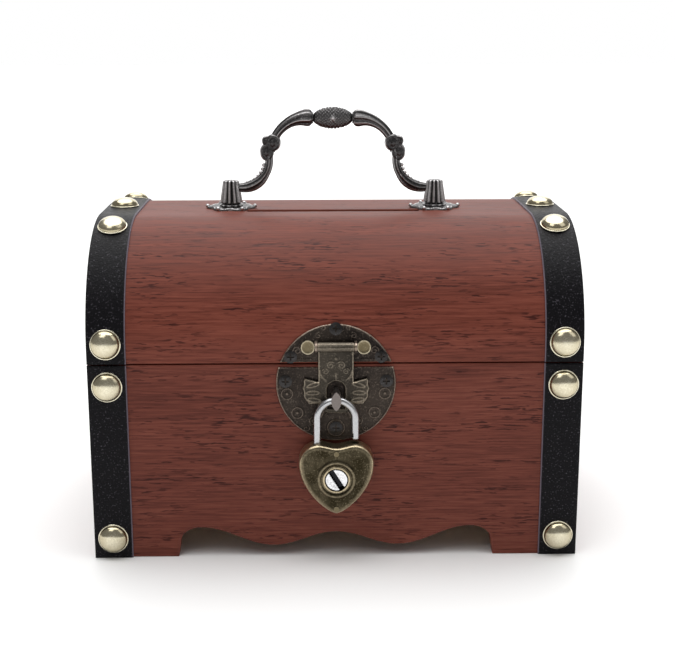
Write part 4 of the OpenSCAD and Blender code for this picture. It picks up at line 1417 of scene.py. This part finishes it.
    def make(self) -> None:
        """Makes the plates, flap and rivets, and dresses the screws, pin and staple."""
        lower = self.half_plate(False)
        lower.finish("lower_plate", Body.CASE, "dark_bronze", self.finishes.bronze, ["hasp_plate_lower"])
        upper = self.half_plate(True)
        self.ears(upper)
        upper.finish("upper_plate", Body.LID, "dark_bronze", self.finishes.bronze, ["hasp_plate_upper"])
        self.flap()
        self.rivets()
        dress("staple", self.finishes.staple)
        dress("flap_pin", self.finishes.brass)
        dress("hasp_screws_lower", self.finishes.screw)
        dress("hasp_screws_upper", self.finishes.screw)


@dataclass
class HeartPadlock:
    """The small heart-shaped padlock: two pressed shells, a ring, the key plug and the wire shackle."""

    chest: Chest
    finishes: Finishes
    step: float = 0.22
    wall: float = 0.9
    edge_r: float = 1.1
    lobe_r: float = 6.3
    dip: float = 1.0
    fullness: float = 0.66
    flank_grade: float = 1.6
    leg_gap: float = 1.2
    wire_r: float = 1.2
    wire_end_r: float = 0.35
    notch_up: float = 0.8
    notch_h: float = 1.3
    travel: float = 5.0
    spring_turns: int = 5
    spring_wire: float = 0.4
    leg_pitch: float = 12.3
    leg_hole_r: float = 1.3
    ring_r: float = 6.2
    bezel_r: float = 4.55
    plug_r: float = 3.6
    slot_half: float = 0.82
    slot_lean: float = 32.0
    cam_lean: float = 45.0
    cam_off: float = 2.0
    middle_y: float = field(init=False)
    half_t: float = field(init=False)
    half_w: float = field(init=False)
    top_z: float = field(init=False)
    tip_z: float = field(init=False)
    plug_z: float = field(init=False)
    face_out: float = field(init=False)

    def __post_init__(self) -> None:
        """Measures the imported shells."""
        low, high = (np.array(c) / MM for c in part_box("padlock_front"))
        back_low, back_high = (np.array(c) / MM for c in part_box("padlock_back"))
        self.middle_y = back_low[1]
        self.half_t = back_high[1] - back_low[1]
        self.half_w = high[0]
        self.top_z = high[2]
        self.tip_z = low[2]
        plug_low, plug_high = (np.array(c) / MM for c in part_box("lock_barrel"))
        self.plug_z = (plug_low[2] + plug_high[2]) / 2
        self.face_out = self.middle_y - plug_low[1]

    def outline(self) -> Array:
        """Works out the heart's outline.

        The flanks follow a power of a sine from the tip, the lobes are quarter circles, the dip is a cosine.

        Returns:
            Its points, anticlockwise from the tip.
        """
        wide_z = self.top_z - self.lobe_r
        centre_x = self.half_w - self.lobe_r
        u = np.linspace(0, 1, 60) ** self.flank_grade
        flank = np.stack([self.half_w * np.sin(math.pi / 2 * u) ** self.fullness,
                          self.tip_z + (wide_z - self.tip_z) * u], axis=1)
        lobe = circle(centre_x, wide_z, self.lobe_r, 24, 0, math.pi / 2)[1:]
        x = centre_x * (1 - np.linspace(0, 1, 14)[1:])
        top = np.stack([x, self.top_z - self.dip * (1 + np.cos(math.pi * x / centre_x)) / 2], axis=1)
        right = np.concatenate([flank, lobe, top])
        return np.concatenate([right, mirrored(right[1:-1])])

    def shell(self, front: bool) -> Shape:
        """Makes one shell: a crowned face with a rounded rim, hollow behind, with half of each leg hole.

        Args:
            front: Whether it is the front shell, which has the collar and the hole for the plug's ring.

        Returns:
            The shell.
        """
        loop = self.outline()
        us = np.arange(-self.half_w - self.step, self.half_w + 2 * self.step, self.step)
        vs = np.arange(self.tip_z - self.step, self.top_z + 2 * self.step, self.step)
        sign = -1.0 if front else 1.0
        ring_inner = self.bezel_r + 0.02

        def place(u: Array, v: Array, h: Array) -> Array:
            """A point in front of or behind the padlock's middle plane."""
            return stack(-sign * u, self.middle_y + sign * h, v)

        def from_rim(u: Array, v: Array, depth: Array) -> Array:
            """Distance inside the heart's own rim, whatever lies nearer."""
            gap, _, _ = nearest_on(loop, u, v, True)
            return np.where((depth == 0) & (gap < 1.0), 0, gap)

        def dish(u: Array, v: Array) -> Array:
            """The collar pressed round the plug: a low rounded ridge, then a slope down to its ring."""
            r = np.hypot(u, v - self.plug_z)
            ridge = 0.4 * np.exp(-(((r - self.ring_r + 0.5) / 0.6) ** 2))
            slope = 0.1 * np.clip((r - self.bezel_r) / 1.2, 0, 1) - 0.1
            return ridge + slope * (r < self.ring_r) if front else 0 * r

        def face(u: Array, v: Array, depth: Array) -> Array:
            """Height of the face: gently pillowed, rounded off at the rim, with the collar on the front."""
            rim = from_rim(u, v, depth)
            crown = 0.34 * np.sqrt(np.clip(rim / 5, 0, 1)) - 0.34
            outwards = 1 - np.clip(rim / self.edge_r, 0, 1)
            bulge = self.edge_r * (1 - np.sqrt(np.clip(1 - outwards**2, 0, 1)))
            return self.half_t - 0.05 - bulge + crown + dish(u, v)

        def hollow(u: Array, v: Array, depth: Array) -> Array:
            """Height of the inside: none at the rim, raised over each leg hole and behind the wall."""
            rim = from_rim(u, v, depth)
            cavity = np.where(rim > self.wall, self.half_t - self.wall - 0.45, 0)
            reach = np.abs(np.abs(u) - self.leg_pitch / 2)
            groove = np.where((reach < self.leg_hole_r) & (v > self.top_z - 4),
                              np.sqrt(np.maximum(self.leg_hole_r**2 - reach**2, 0)), 0)
            return np.maximum(cavity, groove)

        def wear(u: Array, v: Array, depth: Array) -> Array:
            """Bright all round the rim and on the ring's upper edge."""
            r, rim = np.hypot(u, v - self.plug_z), from_rim(u, v, depth)
            edge = np.clip(1.0 - rim / 0.7, 0, 1) + 0.42 * np.exp(-((rim / 1.7) ** 2))
            ridge = 0.36 * np.exp(-(((r - self.ring_r + 0.5) / 0.55) ** 2))
            inner = 0.5 * np.exp(-(((r - ring_inner) / 0.25) ** 2))
            return np.clip(edge + (ridge + inner if front else 0), 0, 1)

        hole = circle(0, self.plug_z, ring_inner, 48)
        shape = Shape()
        Sheet(us, vs, place, face, hollow, [loop, hole] if front else [loop], wear).into(shape)
        return shape

    def on_axis(self, u: Array, v: Array, h: Array) -> Array:
        """A point about the plug's axis, at the height h in front of the middle plane."""
        return stack(u, self.middle_y - h, self.plug_z + v)

    def barrel(self) -> None:
        """Makes the ring-shaped barrel that holds the plug, with a rounded, worn front edge."""
        out = self.face_out
        bore = self.plug_r + 0.12
        profile = np.array([[bore, 0.0], [bore, out - 0.25], [bore + 0.12, out - 0.06], [bore + 0.3, out],
                            [self.bezel_r - 0.2, out - 0.05], [self.bezel_r, out - 0.25], [self.bezel_r, 0.0],
                            [bore, 0.0]])
        marks = np.array([0, 0, 0.5, 0.85, 0.6, 0.3, 0, 0])
        shape = Shape()
        revolve(shape, profile, self.on_axis, 56, marks=marks)
        shape.finish("plug_ring", Body.PADLOCK, "lock_brass", self.finishes.lock, ["lock_barrel"])

    def plug(self) -> None:
        """Makes the polished plug with its leaning slot, and the cam pin behind it."""
        lean = math.radians(self.slot_lean)
        across = np.array([math.cos(lean), math.sin(lean)])
        out = self.face_out - 0.12

        def face(u: Array, v: Array, depth: Array) -> Array:
            """Height of the face: a rounded rim and a deep slot with slightly rounded lips."""
            off = np.abs(u * across[0] + v * across[1])
            slot = np.clip((self.slot_half + 0.06 - off) / 0.12, 0, 1) * 1.9
            lip = 0.08 * np.exp(-(((off - self.slot_half - 0.1) / 0.14) ** 2))
            return out - rounded(depth, 0.3) - slot - lip

        shape = Shape()
        lines = np.arange(-self.plug_r - 0.1, self.plug_r + 0.2, 0.1)
        Sheet(lines, lines, self.on_axis, face, lambda u, v, d: np.full(u.shape, -0.6),
              [circle(0, 0, self.plug_r, 72)], lambda u, v, d: np.clip(
                  (np.abs(u * across[0] + v * across[1]) - self.slot_half + 0.05) / 0.1, 0, 1)).into(shape)
        pin = np.array([[0, -1.65], [0.6, -1.65], [0.6, -0.5], [0, -0.5]])
        turn = math.radians(self.cam_lean)
        pin_x, pin_z = -self.cam_off * math.sin(turn), self.cam_off * math.cos(turn)
        revolve(shape, pin, lambda u, v, h: self.on_axis(u + pin_x, v + pin_z, h), 20)
        shape.finish("slotted_plug", Body.PLUG, "bright_steel", self.finishes.plug, ["key_plug"])

    def shackle(self) -> None:
        """Makes the wire shackle: two upright legs and half a circle, with soft ends and the bolt's notch."""
        low, high = (np.array(c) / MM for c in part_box("shackle"))
        half, r = self.leg_pitch / 2, self.wire_r
        bow_z, short_z = high[2] - self.leg_pitch / 2 - r, self.top_z + self.leg_gap
        notch, end_r = short_z + self.notch_up, self.wire_end_r
        turn = np.linspace(math.pi, 0, 48)
        down = np.array([
            notch + self.notch_h + 0.01, notch + self.notch_h, notch, notch - 0.01, short_z + end_r,
            short_z + 0.1, short_z])
        up = np.concatenate([[low[2], low[2] + 0.1, low[2] + end_r], np.linspace(low[2] + 1, bow_z - 0.1, 8)])
        x = np.concatenate([np.full(len(up), -half), half * np.cos(turn), np.full(len(down), half)])
        z = np.concatenate([up, bow_z + half * np.sin(turn), down])
        lean = np.concatenate([np.full(len(up), math.pi), turn, np.zeros(len(down))])
        radius = np.full(len(x), r)
        radius[[0, -1]], radius[[1, -2]] = r - end_r, r - 0.1
        x, z, lean = (np.concatenate([c[:1], c, c[-1:]]) for c in (x, z, lean))
        radius = np.concatenate([[0.0], radius, [0.0]])
        a = TAU * np.arange(32) / 32
        off = radius[:, None] * np.cos(a)
        notched = (np.arange(len(x)) >= len(x) - 7) & (z >= notch) & (z <= notch + self.notch_h)
        off = np.where(notched[:, None], np.maximum(off, -r / 2), off)
        px = x[:, None] + off * np.cos(lean)[:, None]
        pz = z[:, None] + off * np.sin(lean)[:, None]
        shape = Shape()
        shape.grid(stack(px, self.middle_y + radius[:, None] * np.sin(a), pz), np.full(px.shape, 0.5))
        shape.finish("wire_shackle", Body.SHACKLE, "bright_steel", self.finishes.wire, ["shackle"])

    def spring(self) -> None:
        """Makes the coil under the long leg as one rigid piece, which does not shorten as the case slides up.

        Its middle line is a helix, and the round wire's ring lies in the upright plane through the axis.
        """
        low, high = (np.array(c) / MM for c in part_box("shackle_spring"))
        centre = (low + high) / 2
        wire = self.spring_wire / 2
        coil_r = (high[0] - low[0]) / 2 - wire
        t = np.linspace(0, 1, 26 * self.spring_turns)
        turn = (TAU * self.spring_turns * t)[:, None]
        middle_z = (low[2] + wire + (high[2] - low[2] - 2 * wire) * t)[:, None]
        size = np.full((len(t), 1), wire)
        turn, middle_z, size = (np.concatenate([c[:1], c, c[-1:]]) for c in (turn, middle_z, size))
        size[[0, -1]] = 0
        b = TAU * np.arange(12) / 12
        reach = coil_r + size * np.cos(b)
        shape = Shape()
        shape.grid(stack(centre[0] + reach * np.cos(turn), centre[1] + reach * np.sin(turn),
                         middle_z + size * np.sin(b)))
        coil = shape.finish(
            "coil_spring", Body.SHACKLE, "plain_steel", self.finishes.zinc, ["shackle_spring"])
        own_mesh(coil)

    def make(self) -> None:
        """Makes the shells, ring, plug, shackle and spring, and dresses the rivets and bolt."""
        front = self.shell(True)
        front.finish("heart_front", Body.PADLOCK, "lock_brass", self.finishes.lock, ["padlock_front"])
        back = self.shell(False)
        back.finish("heart_back", Body.PADLOCK, "lock_brass", self.finishes.lock, ["padlock_back"])
        self.barrel()
        self.plug()
        self.shackle()
        self.spring()
        dress("padlock_rivets", self.finishes.brass)
        dress("latch_bolt", self.finishes.brass)


@dataclass
class BailHandle:
    """The cast bail with its medallion, buds, leaves and beads, and the posts and roses that carry it."""

    chest: Chest
    finishes: Finishes
    post_x: float = 36.0
    pivot_up: float = 7.2
    bail_h: float = 24.4
    lower_r: float = 9.8
    lower_x: float = 32.17
    upper_r: float = 12.7
    upper_x: float = 8.97
    medal_half: float = 7.2
    medal_up: float = 3.78
    medal_deep: float = 2.5
    rose_r: float = 9.3
    rose_t: float = 0.9
    petals: int = 6
    post_h: float = 9.0

    def at(self, x: Array, z: Array, y: Optional[Array] = None) -> Array:
        """A point given by its place in the bail's plane, measured from the pivot."""
        deep = np.zeros(np.shape(x)) if y is None else y
        return stack(x, self.chest.middle + deep, self.chest.top + self.pivot_up + z)

    def lower_arm(self, shape: Shape, side: float) -> None:
        """Adds the arm from the post up to the leaves: a quarter circle, with beads on its upper edge.

        Args:
            shape: Where the surfaces go.
            side: -1 on the left, 1 on the right.
        """
        a = np.linspace(-math.pi / 2, -math.pi, 40)
        x = np.concatenate([[32.95, 32.6], self.lower_x + self.lower_r * np.cos(a), [22.4]])
        z = np.concatenate([[0, 0], self.lower_r + self.lower_r * np.sin(a), [12.0]])
        t = np.linspace(0, 1, len(x))
        radius = 1.42 + 0.5 * np.sin(math.pi * np.clip(t * 1.5, 0, 1)) - 0.12 * t
        path, r = capped(self.at(side * x, z), radius)
        sweep(shape, path, r, 8, 0.08, 40, 0.95, 0.6)
        for k in range(7):
            b = -math.pi / 2 - math.radians(14 + 10.5 * k)
            reach = self.lower_r - 1.75
            spot = self.at(np.array(side * (self.lower_x + reach * math.cos(b))),
                           np.array(self.lower_r + reach * math.sin(b)))
            bead(shape, *spot, 0.5 + 0.035 * k)

    def leaf(self, shape: Shape, x: float, z: float, rx: float, rz: float, deep: float, lit: float,
             side: float) -> None:
        """Adds a scroll leaf: a lens whose rim rolls up round a shallow hollow, with a painted highlight on one
        side of its rim.

        Args:
            shape: Where the surface goes.
            x: Distance of its middle from the middle of the bail.
            z: Height of its middle above the pivot.
            rx: Half its width.
            rz: Half its height.
            deep: Half its thickness.
            lit: Direction of the side with the painted highlight, in radians from outwards.
            side: -1 on the left, 1 on the right.
        """
        rho = np.concatenate([np.linspace(0, 0.96, 16), [1.0]])
        lens = deep * np.sqrt(np.clip(1 - rho**2.6, 0, 1))
        roll = 0.3 * np.exp(-(((rho - 0.82) / 0.13) ** 2)) - 0.25 * np.exp(-(((rho - 0.5) / 0.25) ** 2))
        half = lens + roll * (rho < 1)
        a = TAU * np.arange(40) / 40
        # The rim's mark is a painted highlight, strongest on the side towards lit.
        highlight_side = np.clip(0.25 + np.cos(a - lit), 0, 1)
        r = np.concatenate([rho, rho[-2::-1]])
        h = np.concatenate([half, -half[-2::-1]])
        mark = np.exp(-(((r - 0.9) / 0.1) ** 2))[:, None] * highlight_side * 0.8
        dots = 0.06 * np.sin(14 * r[:, None] * np.cos(a)) * np.sin(14 * r[:, None] * np.sin(a))
        dots = dots * (r < 0.75)[:, None]
        px = side * (x + rx * r[:, None] * np.cos(a))
        pz = z + rz * r[:, None] * np.sin(a)
        shape.grid(self.at(px, pz, h[:, None] + dots * np.sign(h)[:, None]), mark)

    def upper_arm(self, shape: Shape, side: float) -> None:
        """Adds the arm from the leaves over to the medallion: a quarter circle that swells into a fluted bud.

        Args:
            shape: Where the surfaces go.
            side: -1 on the left, 1 on the right.
        """
        a = np.linspace(math.radians(4), math.pi / 2, 36)
        straight = np.linspace(self.upper_x - 0.3, 6.7, 12)
        x = np.concatenate([self.upper_x + self.upper_r * np.cos(a), straight])
        z = np.concatenate([self.bail_h - self.upper_r + self.upper_r * np.sin(a), np.full(12, self.bail_h)])
        steps = np.hypot(np.diff(x), np.diff(z))
        run = np.concatenate([[0], np.cumsum(steps)])
        swell = np.clip(run / (run[-1] - 3.0), 0, 1)
        body = 1.35 + 0.3 * swell + 1.15 * swell**4
        end = np.clip((run[-1] - run) / 1.9, 0, 1)
        radius = body * np.sqrt(np.clip(1 - (1 - end) ** 2, 0, 1))
        path, r = capped(self.at(side * x, z), radius)
        sweep(shape, path, r, 7, 0.11, 56, 0.92, 0.6)
        collar = self.at(side * np.full(3, 7.35), np.full(3, self.bail_h))
        collar = collar + np.array([[-0.5 * side, 0, 0], [0, 0, 0], [0.5 * side, 0, 0]])
        path, r = capped(collar, np.array([1.9, 2.15, 1.9]))
        sweep(shape, path, r, 0, 0, 36, 0.95)

    def medallion(self, shape: Shape) -> None:
        """Adds the oval in the middle: a pebbled ellipsoid with a six-petalled boss on both faces.

        Args:
            shape: Where the surface goes.
        """
        a = np.linspace(0, math.pi, 110)
        b = TAU * np.arange(160) / 160
        x = -self.medal_half * np.cos(a)[:, None] * np.ones(160)
        up = np.sin(a)[:, None] * np.cos(b) * self.medal_up
        deep = np.sin(a)[:, None] * np.sin(b) * self.medal_deep
        pebble = np.sin(x * 5.6) * np.sin(up * 5.6 + 0.9 * np.sin(x * 2.1))
        around = np.arctan2(up, x)
        r = np.hypot(x, up)
        flower = np.exp(-((r / (1.15 + 0.35 * np.cos(6 * around))) ** 4)) * (np.abs(deep) > 1.4)
        centre = np.exp(-((r / 0.5) ** 4)) * (np.abs(deep) > 1.4)
        grow = (1 + 0.055 * pebble * np.sin(a)[:, None] * (1 - flower))
        deep = deep * grow + np.sign(deep) * (0.28 * flower + 0.18 * centre)
        mark = np.clip(0.5 * np.clip(pebble, 0, 1) ** 2 + 0.4 * flower + 0.3 * centre, 0, 1)
        shape.grid(self.at(x, self.bail_h + up * grow, deep), mark)

    def bail(self) -> None:
        """Makes the whole bail with the pins that turn in the posts."""
        shape = Shape()
        for side in (-1.0, 1.0):
            self.lower_arm(shape, side)
            self.upper_arm(shape, side)
            self.leaf(shape, 23.15, 12.5, 2.5, 3.15, 1.75, 0.0, side)
            self.leaf(shape, 20.9, 15.8, 2.75, 3.05, 2.0, math.pi - 0.3, side)
            self.leaf(shape, 23.2, 16.4, 1.75, 1.9, 1.6, 0.5, side)
            ends = np.linspace(32.6, self.post_x + 0.75, 4)
            path, r = capped(self.at(side * ends, np.zeros(4)), np.full(4, 1.0))
            sweep(shape, path, r, 0, 0, 24)
        self.medallion(shape)
        shape.finish("cast_bail", Body.HANDLE, "pewter", self.finishes.pewter, ["bail"])

    def post(self, side: float) -> Shape:
        """Makes a fluted, tapering post with a flared foot and a slightly domed top.

        Args:
            side: -1 on the left, 1 on the right.

        Returns:
            The post.
        """
        foot, top = self.rose_t, self.rose_t + self.post_h
        t = np.linspace(0, 1, 16)
        shaft = np.stack([3.42 - 0.95 * t, foot + 1.3 + (self.post_h - 1.75) * t], axis=1)
        profile = np.concatenate([
            [[0, foot], [4.1, foot], [4.15, foot + 0.35], [3.75, foot + 0.62], [3.1, foot + 0.8],
             [3.2, foot + 1.0]], shaft, [[2.3, top - 0.2], [1.7, top], [0, top + 0.05]]])
        cut = np.concatenate([[0, 0, 0, 0, 0, 0.05], np.full(16, 0.17), [0.12, 0, 0]])
        marks = np.concatenate([[0, 0.5, 0.8, 0.3, 0, 0], np.full(16, 1.0), [0.9, 0.5, 0.4]])
        shape = Shape()
        centre = side * self.post_x
        revolve(shape, profile, lambda u, v, h: stack(centre + u, self.chest.middle + v, self.chest.top + h),
                88, 11, cut, marks)
        return shape

    def rose(self, side: float) -> Shape:
        """Makes a petalled rose: a scalloped outline, ribbed petals, and a bright bead on each tip.

        Args:
            side: -1 on the left, 1 on the right.

        Returns:
            The rose.
        """
        a = TAU * np.arange(180) / 180
        reach = self.rose_r - 0.75 - 1.25 * (0.5 - 0.5 * np.cos(self.petals * a)) ** 1.5
        loop = np.stack([reach * np.cos(a), reach * np.sin(a)], axis=1)
        lines = np.arange(-self.rose_r, self.rose_r + 0.1, 0.22)

        def lift(u: Array, v: Array, depth: Array) -> Array:
            """Height of the rose: each petal has a rib and two hollows, and the middle rises."""
            r, t = np.hypot(u, v), np.arctan2(v, u)
            fade = np.clip((r - 3.5) / 3, 0, 1) * np.clip((self.rose_r - r) / 2, 0, 1)
            rib = np.cos(2 * self.petals * t) * fade
            border = 0.16 * np.exp(-(((depth - 0.35) / 0.3) ** 2))
            return 0.72 + 0.14 * rib + border + 0.3 * np.exp(-((r / 5) ** 4)) - rounded(depth, 0.35)

        def wear(u: Array, v: Array, depth: Array) -> Array:
            """Bright along the border and the ribs."""
            r, t = np.hypot(u, v), np.arctan2(v, u)
            rib = np.clip(np.cos(2 * self.petals * t), 0, 1) * np.clip((r - 3.5) / 3, 0, 1)
            return np.clip(0.8 * np.exp(-(((depth - 0.3) / 0.3) ** 2)) + 0.35 * rib, 0, 1)

        shape = Shape()
        centre = side * self.post_x
        middle, top = self.chest.middle, self.chest.top
        Sheet(lines, lines, lambda u, v, h: stack(centre + u, middle + v, top + h), lift,
              lambda u, v, d: np.zeros(u.shape), [loop], wear).into(shape)
        tip = self.rose_r - 0.95
        for t in TAU * np.arange(self.petals) / self.petals:
            bead(shape, centre + tip * math.cos(t), middle + tip * math.sin(t), top + 0.75, 0.75)
        return shape

    def make(self) -> None:
        """Makes the bail, posts and roses, and dresses the washers and nuts."""
        self.bail()
        for side, name in ((-1.0, "left"), (1.0, "right")):
            self.post(side).finish(f"fluted_post_{name}", Body.LID, "pewter", self.finishes.pewter,
                                   [f"handle_post_{name}"])
            self.rose(side).finish(f"petal_rose_{name}", Body.LID, "pewter", self.finishes.pewter,
                                   [f"handle_rose_{name}"])
        dress("handle_washers", self.finishes.zinc)
        dress("handle_nuts", self.finishes.zinc)


def dress(node: str, material: bpy.types.Material) -> None:
    """Gives a model node that stays in sight its material.

    Args:
        node: The node's name.
        material: Its material.
    """
    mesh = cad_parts[node].data
    mesh.materials.clear()
    mesh.materials.append(material)
    LOG.info("%s: dressed in %s", node, material.name)


def dress_hinges(finishes: Finishes) -> None:
    """Gives the hinges and their screws their worn brass."""
    for node in (
        "hinge_leaves_case", "hinge_leaves_lid", "hinge_pins", "hinge_screws_case", "hinge_screws_lid",
    ):
        dress(node, finishes.brass)


# ---------------------------------------------------------------- studio


@dataclass
class Studio:
    """A pale floor, soft lights and the camera."""

    chest: Chest
    lens_mm: float = 70.93
    eye: tuple[float, float, float] = (-7.2, -469.7, 177.1)
    yaw: float = -0.0187
    pitch: float = 0.240
    roll: float = -0.0013
    ambient: float = 0.25
    sky_power: float = 2.9
    sky_tilt: float = -12.0

    def camera(self) -> None:
        """Puts the camera in front of the box, a little above it, looking slightly down."""
        data = bpy.data.cameras.new("camera")
        data.lens = self.lens_mm
        data.sensor_width = 36
        data.clip_start, data.clip_end = 0.01, 20
        camera = bpy.data.objects.new("camera", data)
        bpy.context.scene.collection.objects.link(camera)
        cy, sy, cp, sp = math.cos(self.yaw), math.sin(self.yaw), math.cos(self.pitch), math.sin(self.pitch)
        forward = np.array([-sy * cp, cy * cp, -sp])
        right = np.array([cy, sy, 0.0])
        up = np.cross(right, forward)
        cr, sr = math.cos(self.roll), math.sin(self.roll)
        right, up = cr * right + sr * up, -sr * right + cr * up
        turn = Matrix(np.column_stack([right, up, -forward]).tolist()).to_4x4()
        place = (np.array(self.eye) + [0, self.chest.middle, 0]) * MM
        camera.matrix_world = Matrix.Translation(place.tolist()) @ turn
        bpy.context.scene.camera = camera

    def floor(self) -> None:
        """Lays a wide pale floor under the feet."""
        mesh = bpy.data.meshes.new("floor")
        reach = 4.0
        mesh.from_pydata([(-reach, -reach, 0), (reach, -reach, 0), (reach, reach, 0), (-reach, reach, 0)], [],
                         [(0, 1, 2, 3)])
        wiring = Wiring("pale_floor")
        cloud = wiring.noise((3, 3, 3), 2, 0.5)
        shade = wiring.curve(cloud, [(0.0, (0.93, 0.93, 0.925)), (1.0, (0.96, 0.96, 0.955))])
        mesh.materials.append(wiring.shade(base_color=shade, roughness=0.7))
        floor = bpy.data.objects.new("floor", mesh)
        bpy.context.scene.collection.objects.link(floor)

    def lamp(
        self, name: str, place: Sequence[float], aim: Sequence[float], size: float, watts: float
    ) -> None:
        """Adds a square soft light.

        Args:
            name: The light's name.
            place: Where it stands, in metres.
            aim: The spot that it points at, in metres.
            size: Length of its side, in metres.
            watts: Its power.
        """
        data = bpy.data.lights.new(name, "AREA")
        data.size, data.energy = size, watts
        lamp = bpy.data.objects.new(name, data)
        bpy.context.scene.collection.objects.link(lamp)
        z = np.array(place, float) - np.array(aim, float)
        z /= np.linalg.norm(z)
        x = np.cross([0.0, 0.0, 1.0], z)
        x /= np.linalg.norm(x)
        turn = Matrix(np.column_stack([x, np.cross(z, x), z]).tolist()).to_4x4()
        lamp.matrix_world = Matrix.Translation(list(place)) @ turn

    def sky(self) -> None:
        """Adds a broad light from above and a little in front, which lights the floor alike everywhere."""
        data = bpy.data.lights.new("sky", "SUN")
        data.energy, data.angle = self.sky_power, math.radians(70)
        lamp = bpy.data.objects.new("sky", data)
        bpy.context.scene.collection.objects.link(lamp)
        lamp.matrix_world = Matrix.Rotation(math.radians(self.sky_tilt), 4, "X")

    def light(self) -> None:
        """Sets a white surround, three soft lamps and the broad light from above."""
        world = bpy.data.worlds.new("surround")
        world.use_nodes = True
        tree = world.node_tree
        background = tree.nodes["Background"]
        background.inputs["Color"].default_value = (1, 1, 1, 1)
        sight = tree.nodes.new("ShaderNodeLightPath")
        strength = tree.nodes.new("ShaderNodeMapRange")
        strength.inputs["To Min"].default_value = self.ambient
        strength.inputs["To Max"].default_value = 1.0
        tree.links.new(sight.outputs["Is Camera Ray"], strength.inputs["Value"])
        tree.links.new(strength.outputs["Result"], background.inputs["Strength"])
        bpy.context.scene.world = world
        bpy.context.scene.view_settings.view_transform = "Standard"
        middle = (0, 0, 0.06)
        self.lamp("key", (-0.35, -0.6, 0.95), middle, 0.5, 1.6)
        self.lamp("fill", (0.75, -0.35, 0.75), middle, 0.6, 1.0)
        self.lamp("glow", (0, 2.2, 0.7), (0, 0, 0.1), 2.6, 26)
        self.sky()

    def make(self) -> None:
        """Sets the camera, floor and lights."""
        self.camera()
        self.floor()
        self.light()


def main() -> None:
    logging.basicConfig(level=logging.INFO, format="%(name)s: %(message)s")
    chest = Chest.from_frame()
    finishes = Finishes()
    Studio(chest).make()
    boards = Boards(chest, finishes)
    boards.case()
    boards.lid()
    Straps(chest, finishes).make()
    Studs(chest, finishes).make()
    Hasp(chest, finishes).make()
    HeartPadlock(chest, finishes).make()
    BailHandle(chest, finishes).make()
    dress_hinges(finishes)
    bpy.context.view_layer.update()


if __name__ == "__main__":
    main()
